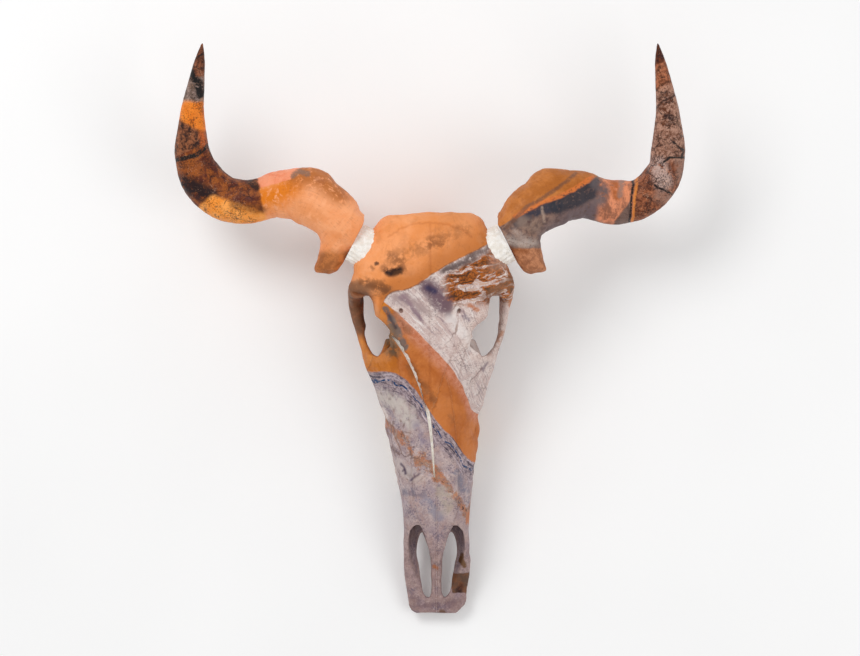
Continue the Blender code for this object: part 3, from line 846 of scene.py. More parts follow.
    def gum_ridge(self, side: float) -> Object:
        """Makes the ridge of bone that holds one side's tooth row.

        Args:
            side: 1 or -1, the sign of x on that side.

        Returns:
            The ridge.
        """
        front, back = self.row_inside
        end = self.row_start + self.row_length
        rows = (
            (front + 6.0, self.row_start - 18.0, 27.0, 4.0, 6.0),
            (front + 6.5, self.row_start + 4.0, 26.0, 8.0, 13.0),
            (front + 9.5, self.row_start + 40.0, 27.0, 10.5, 15.0),
            (back + 8.5, end - 12.0, 28.0, 11.0, 16.0),
            (back + 6.0, end + 8.0, 34.0, 9.0, 16.0),
        )
        return sweep("gum", rows, side, power=2.6)

    def fissure_cutter(self, side: float) -> Object:
        """Makes the cutter for one slit in the palate.

        Args:
            side: 1 or -1, the sign of x on that side.

        Returns:
            The cutter.
        """
        steps = 28
        start, end = self.fissure[0][0], self.fissure[-1][0]
        inner, outer = [], []
        for i in range(steps + 1):
            place = start + (end - start) * i / steps
            middle, half = smooth_row(self.fissure, place)
            inner.append(((middle - half) * side, place))
            outer.append(((middle + half) * side, place))
        return upright("fissure", inner + outer[::-1], -10.0, 60.0)

    def pterygoid_plate(self, side: float) -> Object:
        """Makes the thin upright plate beside the opening behind the palate.

        Args:
            side: 1 or -1, the sign of x on that side.

        Returns:
            The plate.
        """
        rings = [
            Section(Vector((x * side, y, (low + high) / 2.0)), ACROSS, UP, half, (high - low) / 2.0, 3.0)
            for y, x, half, low, high in self.pterygoid
        ]
        return skin("pterygoid", rings, 24)

    def whole_crest(self) -> Object:
        """Makes the crest round the back of the skull, from ear to ear."""
        other = [(-x, *rest) for x, *rest in self.crest[:0:-1]]
        return sweep("crest", [*other, *self.crest], up=ALONG)

    def forms(self) -> Object:
        """Joins the rough forms of the skull and cuts its hollows.

        Returns:
            The joined forms.
        """
        skull = loft("skull", self.brow, power=2.5)
        bulk = [
            loft("braincase", self.braincase),
            loft("temple", self.temple),
            loft("face", self.face, power=2.5),
            loft("base", self.base, power=2.4),
            self.whole_crest(),
            sweep("nape", self.nape_ridge, up=ALONG),
        ]
        for side in (-1.0, 1.0):
            bulk += [
                ball("condyle", *self.condyle, side),
                ball("bulla", *self.bulla, side),
                ball("tuber", *self.face_tuber, side),
                sweep("ear", self.ear_tube, side),
                sweep("process", self.ear_process, side, up=ALONG),
                self.gum_ridge(side),
            ]
        combine(skull, bulk, Cut.JOIN)
        hollows = [
            loft("cavity", self.cavity),
            loft("choana", self.choana, power=2.6),
            loft("vault", self.vault),
            ball("great_hole", *self.great_hole),
        ]
        for side in (-1.0, 1.0):
            hollows += [ball("socket", *self.socket, side), self.fissure_cutter(side)]
            hollows += [sweep("hole", rows, side, sides=16) for rows in self.holes]
        combine(skull, hollows, Cut.TAKE_AWAY)
        bars = [NasalProfile().tips()]
        for side in (-1.0, 1.0):
            bars += [
                sweep("cheek", self.cheek_bar, side),
                sweep("post", self.socket_post, side, up=ALONG),
                self.pterygoid_plate(side),
            ]
        combine(skull, bars, Cut.JOIN)
        slots = [upright("slot", [(x * side, y) for x, y in self.slot], 20.0, 220.0) for side in (-1.0, 1.0)]
        return combine(skull, slots, Cut.TAKE_AWAY)

    def build(self) -> Object:
        """Makes the melted skull with its relief, ready to be parted.

        Returns:
            The skull.
        """
        skull = largest_only(melted(self.forms(), self.voxel, self.passes))
        Relief().press(skull)
        return LEAN.bend(skull)


@dataclass
class Sutures:
    """The lines along which the bones meet, seen from above, on one side.

    Attributes:
        frontal: the border between the brow and the face.
        swing: how far the turns of a suture reach.
        wave: the length of a turn.
        wedge_floor: the height above which the brow's border is that line.
        wall: where the braincase ends below it.
        muzzle_low, muzzle_high: two points, along and up, of the slanting border of the foremost bone.
        cheek_low, cheek_high: corners of the box that holds a cheek bone.
        lacrimal, coronal, brow_middle: borders that are only pressed into the surface.
        channel: the run of a vessel forward from its hole in the brow.
    """

    frontal: tuple[Point, ...] = (
        (46, -7), (36, -15), (25, -33), (17, -51), (10, -70), (6.5, -86), (0, -97),
    )
    swing: float = 0.9
    wave: float = 4.2
    wedge_floor: float = 104.0
    wall: float = -9.0
    muzzle_low: Point = (-258.0, 12.0)
    muzzle_high: Point = (-206.0, 74.0)
    cheek_low: Place = (54.0, -40.0, 58.0)
    cheek_high: Place = (120.0, 60.0, 106.0)
    lacrimal: tuple[Point, ...] = ((47, -8), (38, -34), (33, -62), (41, -72), (53, -62), (60, -41))
    coronal: tuple[Point, ...] = ((0, 121), (18, 118), (34, 113), (48, 104))
    brow_middle: tuple[Point, ...] = ((0, 121), (0.6, 70), (-0.6, 10), (0, -50), (0, -97))
    channel: tuple[Point, ...] = ((33, 18), (32, 6), (29, -8), (28, -22))

    def frontal_line(self, side: float) -> list[Point]:
        """Gives one side's border of the brow with its turns."""
        bent = jagged(self.frontal, self.swing, self.wave, 3.0 + side)
        return [(x * side, y) for x, y in bent]

    def behind(self, grow: float) -> Object:
        """Makes the space of the brow and braincase, wider by a gap.

        Args:
            grow: the gap in millimetres.

        Returns:
            The space.
        """
        right, left = (
            [(x + grow * side, y - grow) for x, y in self.frontal_line(side)[:-1]] for side in (1.0, -1.0)
        )
        tip = (0.0, self.frontal[-1][1] - grow)
        outline = [(FAR, right[0][1]), *right, tip, *left[::-1], (-FAR, left[0][1]), (-FAR, FAR), (FAR, FAR)]
        brow = upright("behind", outline, self.wedge_floor - grow, FAR)
        low = block("low", (-FAR, self.wall - grow, -FAR), (FAR, FAR, self.wedge_floor + 1.0 + grow))
        return combine(brow, [low], Cut.JOIN)

    def cheek(self, side: float, grow: float) -> Object:
        """Makes the space of one cheek bone, with uneven faces, wider by a gap.

        Args:
            side: 1 or -1, the sign of x on that side.
            grow: the gap in millimetres.

        Returns:
            The space.
        """
        low, high = Vector(self.cheek_low), Vector(self.cheek_high)
        middle, half = (low + high) / 2.0, (high - low) / 2.0
        mesh = bmesh.new()
        bmesh.ops.create_cube(mesh, size=2.0)
        bmesh.ops.subdivide_edges(mesh, edges=mesh.edges, cuts=14, use_grid_fill=True)
        for corner in mesh.verts:
            turn = noise.noise_vector(corner.co * half / 7.0 + Vector((0.0, 0.0, side))) * 1.3
            corner.co = (middle + corner.co * (half + Vector((grow, grow, grow))) + turn) * MM
            corner.co.x *= side
        bmesh.ops.recalc_face_normals(mesh, faces=mesh.faces)
        return made_object("cheek_region", mesh)

    def muzzle(self, grow: float) -> Object:
        """Makes the space in front of the slanting border across the muzzle, wider by a gap.

        Args:
            grow: the gap in millimetres.

        Returns:
            The space.
        """
        (y_low, z_low), (y_high, z_high) = self.muzzle_low, self.muzzle_high
        slope = (y_high - y_low) / (z_high - z_low)
        line = jagged([(y_low + slope * (z - z_low), z) for z in (-50.0, 130.0)], 0.8, 5.0, 21.0)
        corners = [(y + grow, z) for y, z in line] + [(-FAR, 130.0), (-FAR, -50.0)]
        return prism("premaxilla_region", [(-FAR, y, z) for y, z in corners], (2.0 * FAR, 0.0, 0.0))

    def half(self, side: float) -> Object:
        """Makes everything on one side of the middle, which leans with the nose.

        Args:
            side: 1 or -1, the sign of x on that side.

        Returns:
            The space.
        """
        places = [i * 1.2 for i in range(int(-FAR / 1.2), int(FAR / 1.2))]
        middle = []
        for y in places:
            wander = 0.9 * noise.noise(Vector((y / 3.8, 0.0, 5.0)))
            middle.append((side * SUTURE / 2.0 + LEAN.at(y) + wander, y))
        return upright("half", [*middle, (side * FAR, places[-1]), (side * FAR, places[0])], -FAR, FAR)

    def pressed_lines(self) -> list[list[Point]]:
        """Gives the sutures that show from above, in the skull's shape before it leans.

        Returns:
            The lines.
        """
        nasals = NasalProfile()
        lines = [self.brow_middle, [(0.0, -97.0), (0.0, -325.0)]]
        for side in (-1.0, 1.0):
            lines.append(self.frontal_line(side))
            lines.append([(side * nasals.half(y, side), float(y)) for y in range(-64, -236, -2)])
            for line, seed in ((self.lacrimal, 31.0), (self.coronal, 37.0)):
                lines.append([(x * side, y) for x, y in jagged(line, 1.1, 5.0, seed + side)])
        return lines


@dataclass
class Relief:
    """The small forms of the bone's surface.

    Attributes:
        groove: how deep a suture is pressed in.
        groove_width: how wide.
        swells: size and height of the surface's unevenness, from broad to fine.
        rough_brow: extra height of the fine unevenness beside the horns.
        root_swell: how far the roots of the cheek teeth swell the jaw.
        tooth_ends: places along the skull where one cheek tooth ends.
    """

    groove: float = 0.4
    groove_width: float = 1.25
    swells: tuple[Point, ...] = ((34, 0.8), (13, 0.42), (5.5, 0.17))
    rough_brow: float = 0.55
    root_swell: float = 0.9
    tooth_ends: tuple[float, ...] = (-184, -173.5, -161, -147.5, -129, -107.5, -85)

    def on_top(self, skull: Object, line: Sequence[Point]) -> list[Vector]:
        """Lays a line seen from above on the skull's upper surface.

        Args:
            skull: the object that the line falls on.
            line: its points.

        Returns:
            The points where it lies.
        """
        tree = bvhtree.BVHTree.FromObject(skull, bpy.context.evaluated_depsgraph_get())
        found = []
        for x, y in walked(line, 0.9):
            hit = tree.ray_cast(Vector((x, y, FAR)) * MM, -UP)[0]
            if hit is not None:
                found.append(hit / MM)
        return found

    def press(self, skull: Object) -> None:
        """Gives the skull its relief, and stores where its sutures and hollows are.

        Args:
            skull: the melted skull, before it leans.
        """
        sutures = Sutures()
        lines = [point for line in sutures.pressed_lines() for point in self.on_top(skull, line)]
        channels = [
            point
            for side in (-1.0, 1.0)
            for point in self.on_top(skull, [(x * side, y) for x, y in sutures.channel])
        ]
        points, normals = points_of(skull), normals_of(skull)
        seam = bell(nearest(points, lines)[0], self.groove_width)
        height = -self.groove * seam
        height -= 1.1 * bell(nearest(points, channels)[0], 2.4)
        for seed, (size, tall) in enumerate(self.swells):
            height += tall * ripples(points, size, seed + 1.0)
        x, y, z = np.abs(points[:, 0]), points[:, 1], points[:, 2]
        beside_horn = ease_step(x, 46.0, 66.0) * ease_step(y, 44.0, 70.0) * ease_step(z, 110.0, 130.0)
        coarse = ripples(points, 4.2, 9.0) + 0.6 * ripples(points, 9.0, 11.0)
        height += self.rough_brow * beside_horn * coarse
        height += self.roots(x, y, z)
        set_points(skull, points + normals * height[:, None])
        points, normals = points_of(skull), normals_of(skull)
        sunk = ((relaxed(skull, points, 60) - points) * normals).sum(axis=1)
        store(skull, "seam", seam)
        store(skull, "hollow", np.clip(0.5 + sunk / 2.4, 0.0, 1.0))

    def roots(self, x: np.ndarray, y: np.ndarray, z: np.ndarray) -> np.ndarray:
        """Gives how far the roots of the teeth swell the side of the jaw at each point.

        Args:
            x, y, z: the place of each point, with x without its sign.

        Returns:
            The swelling at each, in millimetres.
        """
        swell = np.zeros_like(y)
        for start, end in zip(self.tooth_ends, self.tooth_ends[1:]):
            middle, half = (start + end) / 2.0, (end - start) / 2.0
            swell += bell(y - middle, half * 0.8)
        on_side = ease_step(x, 30.0, 38.0) * ease_step(z, 12.0, 26.0) * (1.0 - ease_step(z, 44.0, 66.0))
        return self.root_swell * on_side * (swell - 0.6)


@dataclass
class Stump:
    """The ridged core of bone that carries one horn.

    Attributes:
        seat: a point of the flat face where the horn sits.
        normal: the direction that the seat faces.
        length: how far the core reaches back into the brow.
        half_width, half_depth: half its size across and in height.
        drop: how far down the seat its middle is.
        ridges: how many ridges run along it.
        ridge: how tall they are, as a share of the radius.
    """

    seat: Place = (80.0, 112.0, 133.0)
    normal: Vector = field(default_factory=lambda: Vector((0.887, 0.462, 0.0)).normalized())
    length: float = 42.0
    half_width: float = 23.0
    half_depth: float = 18.5
    drop: float = 16.0
    ridges: int = 23
    ridge: float = 0.022

    def beyond(self, side: float, low: float, high: float) -> Object:
        """Makes a wall across one horn's seat, between two distances out from the seat.

        Args:
            side: 1 or -1, the sign of x on that side.
            low, high: the two distances in millimetres.

        Returns:
            The wall.
        """
        along = Vector((-self.normal.y, self.normal.x, 0.0))
        corners = []
        for out, wide in ((low, -FAR), (high, -FAR), (high, FAR), (low, FAR)):
            point = Vector(self.seat) + self.normal * out + along * wide
            corners.append((point.x * side, point.y))
        return upright("seat", corners, -FAR, FAR)

    def build(self, side: float) -> Object:
        """Makes one core, in freshly bared bone.

        Args:
            side: 1 or -1, the sign of x on that side.

        Returns:
            The core.
        """
        down = Vector((self.normal.y, -self.normal.x, 0.0))
        foot = Vector(self.seat) + down * self.drop
        rings: list[Ring] = []
        steps = 30
        for i in range(steps + 1):
            out = -self.length + (self.length - SUTURE / 2.0) * i / steps
            section = Section(foot + self.normal * out, down, UP, self.half_width, self.half_depth, 2.3)
            rings.append(self.ridged(section, out, side))
        core = skin("stump", rings, 96)
        core.data.polygons.foreach_set("material_index", [1] * len(core.data.polygons))
        return core

    def ridged(self, section: Section, out: float, side: float) -> Ring:
        """Gives a section small ridges and pits that change along the core.

        Args:
            section: the smooth section.
            out: how far along the core it is.
            side: which side of the skull.

        Returns:
            The ridged ring.
        """
        def ring(angle: float) -> Vector:
            """Gives the ring's point at an angle."""
            point = section(angle)
            wander = noise.noise(Vector((math.cos(angle) * 2.0, math.sin(angle) * 2.0, out / 14.0)))
            swell = 1.0 + self.ridge * math.sin(self.ridges * angle + 3.0 * wander)
            swell += 0.03 * noise.noise(point / 4.0)
            point = section.centre + (point - section.centre) * swell
            return Vector((point.x * side, point.y, point.z))

        return ring


@dataclass
class OpenSeam:
    """The gaping seam from the left eye socket to the middle and forward, as a trench.

    Attributes:
        rows: x, y, z, half width and half depth along it.
    """

    rows: tuple[Row, ...] = (
        (-42, -9, 141, 2.7, 4.5), (-36.5, -16, 141, 2.7, 4.5), (-25.5, -34, 140, 2.5, 4.5),
        (-17.2, -52, 137, 2.4, 4.5), (-10.2, -71, 133, 2.3, 4.5), (-5.6, -90, 128, 2.1, 4),
        (-3, -110, 123, 1.8, 3.6), (-1.8, -140, 114, 1.3, 3), (-1.4, -172, 102.8, 0.7, 2.4),
    )

    def cutter(self) -> Object:
        """Makes the trench's cutter, which bares fresh bone.

        Returns:
            The cutter.
        """
        trench = LEAN.bend(sweep("open_seam", self.rows, steps=8, sides=16))
        trench.data.polygons.foreach_set("material_index", [1] * len(trench.data.polygons))
        return trench


@dataclass
class Bones:
    """The bones of the skull, parted along their sutures.

    Attributes:
        blank: all the bone before it is parted.
        sutures: where it is parted.
        stump: the core that carries a horn.
        seam: the gaping seam.
    """

    blank: BoneBlank = field(default_factory=BoneBlank)
    sutures: Sutures = field(default_factory=Sutures)
    stump: Stump = field(default_factory=Stump)
    seam: OpenSeam = field(default_factory=OpenSeam)

    def build(self) -> dict[str, Object]:
        """Makes every bone.

        Returns:
            The bones by the names of the CAD nodes that they stand for.
        """
        rest = self.blank.build()
        bones: dict[str, Object] = {}
        for side in Side:
            name = f"zygomatic_{side.word}"
            bones[name] = taken(rest, self.sutures.cheek(side.value, 0.0), name)
            combine(rest, [self.sutures.cheek(side.value, SUTURE)], Cut.TAKE_AWAY)
        cranium = taken(rest, self.sutures.behind(0.0), "cranium")
        combine(rest, [self.sutures.behind(SUTURE)], Cut.TAKE_AWAY)
        combine(rest, [self.seam.cutter()], Cut.TAKE_AWAY)
        nasals = taken(rest, NasalProfile().region(0.0), "nasals")
        combine(rest, [NasalProfile().region(SUTURE)], Cut.TAKE_AWAY)
        muzzle = taken(rest, self.sutures.muzzle(0.0), "premaxillae")
        combine(rest, [self.sutures.muzzle(SUTURE)], Cut.TAKE_AWAY)
        combine(cranium, [self.stump.build(side.value) for side in Side], Cut.JOIN)
        bones["cranium"] = cranium
        for pair, name in ((nasals, "nasal"), (muzzle, "premaxilla"), (rest, "maxilla")):
            for side in Side:
                word = f"{name}_{side.word}"
                bones[word] = taken(pair, self.sutures.half(side.value), word)
            bpy.data.objects.remove(pair)
        table = block("table", (-FAR, -FAR, -FAR), (FAR, FAR, 0.0))
        for bone in bones.values():
            combine(bone, [table], Cut.TAKE_AWAY, keep=True)
            pulled(largest_only(bone), SKULL_PULLS)
        bpy.data.objects.remove(table)
        return bones


@dataclass
class CheekTeeth:
    """The six upper cheek teeth of one side, worn flat on the table.

    Attributes:
        side: which side.
        sizes: length and width of each tooth, from the front.
        start: where the row starts.
        inside: how far out the row's inner edge is, in front and at the back.
        root: how tall a tooth is.
        gap: space between two teeth.
        fold: how deep the folds of the outer face are, as a share of the half width.
    """

    side: Side
    sizes: tuple[Point, ...] = (
        (10.5, 10), (12.5, 13), (13.5, 15), (18.5, 17.5), (21.5, 18.5), (22.5, 17.5),
    )
    start: float = -184.0
    inside: Point = (25.0, 30.0)
    root: float = 30.0
    gap: float = 0.8
    fold: float = 0.11

    def crown(self, front: float, length: float, width: float, inside: float) -> Object:
        """Makes one tooth.

        Args:
            front: where it starts along the skull.
            length: its length along the skull.
            width: its width.
            inside: how far out its inner edge is.

        Returns:
            The tooth, with the cup of each lobe sunk in its worn face.
        """
        lobes = 2 if length > 15.0 else 1
        centre = Vector((inside + width / 2.0, front + length / 2.0, 0.0))

        def ring(height: float, grow: float) -> Ring:
            """Gives the tooth's outline at a height."""
            def point(angle: float) -> Vector:
                """Gives the outline's point at an angle."""
                along = math.copysign(abs(math.cos(angle)) ** (2.0 / 3.4), math.cos(angle))
                across = math.copysign(abs(math.sin(angle)) ** (2.0 / 2.6), math.sin(angle))
                folds = 1.0 - self.fold * math.cos(math.tau * along * lobes / 2.0)
                spread = Vector((across * folds * width / 2.0, along * (length - self.gap) / 2.0, 0.0))
                place = centre + spread * grow + UP * height
                return Vector((place.x * self.side.value, place.y, place.z))

            return point

        rows = ((0.0, 0.97), (0.5, 1.0), (4.0, 1.0), (10.0, 0.985), (18.0, 0.95), (self.root, 0.9))
        tooth = skin("tooth", [ring(height, grow) for height, grow in rows], 48)
        cups = []
        for i in range(lobes):
            offset = 0.0 if lobes == 1 else (i - 0.5) * length * 0.46
            for shift, reach in ((-0.12, 0.16), (0.2, 0.13)):
                y = centre.y + offset
                x = centre.x + shift * width
                bow = width * 0.12
                arc = [
                    (x + bow * (t * t), y + t * length * reach * (1.6 if lobes == 1 else 1.0), 0.0, 0.75, 1.6)
                    for t in (-1.0, -0.6, -0.2, 0.2, 0.6, 1.0)
                ]
                cups.append(sweep("cup", arc, self.side.value, steps=3, sides=10))
        return combine(tooth, cups, Cut.TAKE_AWAY)

    def build(self) -> Object:
        """Makes the row of teeth as one piece.

        Returns:
            The row.
        """
        total = sum(length for length, _ in self.sizes)
        front, row = self.start, []
        for length, width in self.sizes:
            t = (front - self.start) / total
            row.append(
                self.crown(front, length, width, self.inside[0] + (self.inside[1] - self.inside[0]) * t)
            )
            front += length
        whole = combine(row[0], row[1:], Cut.JOIN)
        whole.name = f"cheek_teeth_{self.side.word}"
        return LEAN.bend(whole)


@dataclass
class Horn:
    """One horn, on its seat beside the brow.

    Attributes:
        side: which side.
        rows: x, y, z, half width and half depth from the seat to the tip.
        lip: the same for the lower lip, which hangs beside the brow.
        voxel: the grid that melts the two together.
        passes: how often the melted surface is eased.
        ring_pitch: distance between two growth rings at the base.
        ring_height: height of the growth rings at the base.
        pulls: how its surface follows the picture.
    """

    side: Side
    rows: tuple[Row, ...] = (
        (75, 103, 136, 10, 17), (81, 106, 136, 19, 22), (87, 111, 136, 24.5, 25), (98, 121, 136, 29.5, 28),
        (118, 138, 134, 32.5, 30.5), (139, 149.5, 129, 34.5, 30), (156, 153, 123, 30, 28),
        (174, 153, 117, 27, 26), (192.5, 148, 112, 24.5, 24.5), (212, 144.5, 108, 25.3, 24.5),
        (232, 147, 106, 25.5, 24), (249, 156.5, 106.5, 25.5, 23.5), (262, 170.5, 109, 25, 22.5),
        (271, 188, 114, 22.5, 20.5), (275, 210, 122, 19.6, 18), (274.4, 243, 135, 14.2, 13.5),
        (269.4, 280, 150, 9.6, 9.4), (265.3, 306.5, 161, 5.9, 5.9), (261.8, 326.6, 168.6, 1.1, 1.1),
    )
    lip: tuple[Row, ...] = (
        (104, 128, 134, 26, 26), (105.5, 112, 133, 25, 25), (107, 99, 131, 20, 22), (110, 89, 129, 17, 19),
        (114.5, 78.5, 126, 15, 16), (118, 70, 124, 12.6, 13), (120.5, 63.5, 123, 6, 6.5),
    )
    voxel: float = 1.5
    passes: int = 12
    ring_pitch: float = 7.5
    ring_height: float = 0.55
    pulls: tuple[Pull, ...] = ()

    def build(self) -> Object:
        """Makes the horn, cut flat where it sits on its core.

        Returns:
            The horn.
        """
        side = self.side.value
        shaft = sweep(f"horn_{self.side.word}", self.rows, side, power=2.1, sides=36)
        combine(shaft, [sweep("lip", self.lip, side, power=2.1, sides=30)], Cut.JOIN)
        melted(shaft, self.voxel, self.passes)
        combine(shaft, [Stump().beyond(side, -FAR, SUTURE / 2.0)], Cut.TAKE_AWAY)
        self.grow_rings(largest_only(shaft))
        return pulled(shaft, self.pulls)

    def grow_rings(self, shaft: Object) -> None:
        """Gives the horn its growth rings and swells, and stores its straightened shape.

        Args:
            shaft: the melted horn.
        """
        stops = path_places(self.rows, 24)
        samples = [Vector((x * self.side.value, y, z)) for x, y, z, _, _ in stops]
        lengths = np.concatenate([[0.0], np.cumsum([(b - a).length for a, b in zip(samples, samples[1:])])])
        points, normals = points_of(shaft), normals_of(shaft)
        _, found = nearest(points, samples)
        centres = np.array([tuple(sample) for sample in samples])
        ahead = np.gradient(centres, axis=0)
        ahead /= np.linalg.norm(ahead, axis=1)[:, None]
        offset = points - centres[found]
        past = (offset * ahead[found]).sum(axis=1)
        place = lengths[found] + past
        sideways = np.stack([ahead[:, 1], -ahead[:, 0], np.zeros(len(ahead))], axis=1)
        sideways /= np.linalg.norm(sideways, axis=1)[:, None]
        across = (offset * sideways[found]).sum(axis=1)
        rise = offset[:, 2] - past * ahead[found, 2]
        store(shaft, "straight", np.stack([place, across, rise], axis=1) * MM)
        fade = 1.0 - 0.85 * ease_step(place, 60.0, 330.0)
        phase = place / self.ring_pitch + 1.1 * ripples(points, 26.0, 4.0) + 0.35 * ripples(points, 9.0, 5.0)
        rings = np.abs(np.sin(phase * math.pi)) ** 0.7 - 0.6
        height = self.ring_height * fade * rings * (0.6 + 0.8 * ripples(points, 17.0, 6.0))
        height += 0.6 * ripples(points, 24.0, 7.0) * fade + 0.22 * ripples(points, 6.0, 8.0)
        stump = Stump()
        normal = np.array((stump.normal.x * self.side.value, stump.normal.y, 0.0))
        seat = np.array((stump.seat[0] * self.side.value, stump.seat[1], stump.seat[2]))
        height *= ease_step(((points - seat) * normal).sum(axis=1), 0.5, 3.0)
        height = np.clip(height, -1.2, 0.9) * ease_step(place, -20.0, 8.0)
        set_points(shaft, points + normals * height[:, None])


def paint(red: float, green: float, blue: float) -> tuple[float, float, float, float]:
    """Turns a colour as it is seen, from 0 to 255, into the shader's linear one, less what the gloss adds.

    Args:
        red, green, blue: its three shares.

    Returns:
        The shader's colour, with its alpha.
    """
    parts = [value / 255.0 for value in (red, green, blue)]
    line = [part / 12.92 if part <= 0.04045 else ((part + 0.055) / 1.055) ** 2.4 for part in parts]
    red, green, blue = (max(part * 1.03 - GLOSS, 0.002) for part in line)
    return (red, green, blue, 1.0)


Tint = tuple[int, int, int]
Colour = tuple[float, float, float, float]
Value = NodeSocket | float | Place | Colour


@dataclass
class Graph:
    """Adds nodes to a node tree and joins them.

    Attributes:
        tree: the node tree.
    """

    tree: NodeTree

    def node(self, kind: str, inputs: dict[str | int, Value] | None = None, **settings: object) -> Node:
        """Adds a node.

        Args:
            kind: the node's type, without its ShaderNode prefix.
            inputs: a value or socket for each input, by name or number.
            settings: the node's own settings.

        Returns:
            The node.
        """
        made = self.tree.nodes.new("ShaderNode" + kind)
        for name, value in settings.items():
            setattr(made, name, value)
        for name, value in (inputs or {}).items():
            self.feed(made.inputs[name], value)
        return made

    def feed(self, socket: NodeSocket, value: Value) -> None:
        """Joins a socket to an input, or sets the input's value.

        Args:
            socket: the input.
            value: a value or socket.
        """
        if isinstance(value, NodeSocket):
            self.tree.links.new(value, socket)
        else:
            socket.default_value = value

    def maths(self, operation: str, *values: Value, clamp: bool = False) -> NodeSocket:
        """Adds a Math node on up to three values."""
        return self.node("Math", dict(enumerate(values)), operation=operation, use_clamp=clamp).outputs[0]

    def times(self, first: Value, *others: Value) -> NodeSocket:
        """Multiplies values.

        Args:
            first: the first value.
            others: what it is multiplied by, one after the other.

        Returns:
            The product.
        """
        for other in others:
            first = self.maths("MULTIPLY", first, other)
        return first

    def plus(self, first: Value, *others: Value) -> NodeSocket:
        """Adds values.

        Args:
            first: the first value.
            others: what is added, one after the other.

        Returns:
            The sum.
        """
        for other in others:
            first = self.maths("ADD", first, other)
        return first

    def minus(self, first: Value, second: Value) -> NodeSocket:
        """Takes the second value from the first."""
        return self.maths("SUBTRACT", first, second)

    def over(self, first: Value, second: Value, clamp: bool = False) -> NodeSocket:
        """Divides the first value by the second."""
        return self.maths("DIVIDE", first, second, clamp=clamp)

    def vectors(self, operation: str, *values: Value) -> NodeSocket:
        """Adds a Vector Math node, and gives its vector or, for a dot product or length, its value.

        Args:
            operation: what the node does.
            values: its inputs in order.

        Returns:
            The result.
        """
        made = self.node("VectorMath", operation=operation)
        for i, value in enumerate(values):
            slot = made.inputs["Scale"] if operation == "SCALE" and i == 1 else made.inputs[i]
            self.feed(slot, value)
        return made.outputs["Value" if operation in ("DOT_PRODUCT", "LENGTH", "DISTANCE") else "Vector"]

    def mix(self, share: Value, first: Value, second: Value, blend: str = "MIX") -> NodeSocket:
        """Adds a Mix node for two colours.

        Args:
            share: how far to go to the second.
            first, second: the colours.
            blend: how they blend.

        Returns:
            The mixed colour.
        """
        made = self.node("Mix", data_type="RGBA", blend_type=blend, clamp_factor=True)
        for number, value in ((0, share), (6, first), (7, second)):
            self.feed(made.inputs[number], value)
        return made.outputs[2]

    def ease(
        self, value: Value, low: Value, high: Value, to_low: float = 0.0, to_high: float = 1.0
    ) -> NodeSocket:
        """Rises smoothly between two values, as from 0 to 1."""
        inputs = {"Value": value, "From Min": low, "From Max": high, "To Min": to_low, "To Max": to_high}
        return self.node("MapRange", inputs, interpolation_type="SMOOTHSTEP").outputs["Result"]

    def cloud(
        self, vector: Value, size: Value, detail: float = 3.0, rough: float = 0.55, bend: float = 0.0
    ) -> NodeSocket:
        """Adds smooth noise of about a size in millimetres, from 0 to 1.

        Args:
            vector: the place.
            size: the size.
            detail, rough, bend: the noise's settings.

        Returns:
            The noise.
        """
        scale = self.over(1, size) if isinstance(size, NodeSocket) else 1 / size
        inputs = {"Vector": vector, "Scale": scale, "Detail": detail, "Roughness": rough, "Distortion": bend}
        return self.node("TexNoise", inputs).outputs["Fac"]

    def group(self, name: str, **inputs: Value) -> NodeSocket:
        """Places a node group with its own values.

        Args:
            name: the group's name.
            inputs: a value or socket for each of its inputs.

        Returns:
            Its first output.
        """
        made = self.tree.nodes.new("ShaderNodeGroup")
        made.node_tree = bpy.data.node_groups[name]
        for key, value in inputs.items():
            self.feed(made.inputs[key], value)
        return made.outputs[0]


def new_group(
    name: str, inputs: Sequence[tuple[str, str, object]], outputs: Sequence[tuple[str, str]]
) -> tuple[Graph, dict[str, NodeSocket], Node]:
    """Starts a node group that several materials share.

    Args:
        name: its name.
        inputs: each input's name, kind and value.
        outputs: each output's name and kind, the main one first.

    Returns:
        A graph on its tree, its inputs by name, and its output node.
    """
    tree = bpy.data.node_groups.new(name, "ShaderNodeTree")
    for word, kind, value in inputs:
        socket = tree.interface.new_socket(name=word, in_out="INPUT", socket_type="NodeSocket" + kind)
        if value is not None:
            socket.default_value = value
    for word, kind in outputs:
        tree.interface.new_socket(name=word, in_out="OUTPUT", socket_type="NodeSocket" + kind)
    entry = tree.nodes.new("NodeGroupInput")
    leave = tree.nodes.new("NodeGroupOutput")
    return Graph(tree), {socket.name: socket for socket in entry.outputs if socket.name}, leave


WHERE = ("Vector", "Vector", None)


def make_drift() -> None:
    """Builds the group that lets a pattern wander."""
    graph, given, leave = new_group(
        "Drift",
        (WHERE, ("Size", "Float", 30), ("Reach", "Float", 5), ("Seed", "Float", 0)),
        (("Vector", "Vector"),),
    )
    moved = graph.vectors("ADD", given["Vector"], graph.node("CombineXYZ", {2: given["Seed"]}).outputs[0])
    scale = graph.over(1, given["Size"])
    cloud = graph.node("TexNoise", {"Vector": moved, "Scale": scale, "Detail": 2}).outputs["Color"]
    shares = graph.node("SeparateColor", {0: cloud}).outputs
    wander = graph.node("CombineXYZ", dict(enumerate(shares))).outputs[0]
    reach = graph.times(given["Reach"], 2)
    push = graph.vectors("SCALE", graph.vectors("SUBTRACT", wander, (0.5, 0.5, 0.5)), reach)
    graph.feed(leave.inputs["Vector"], graph.vectors("ADD", given["Vector"], push))


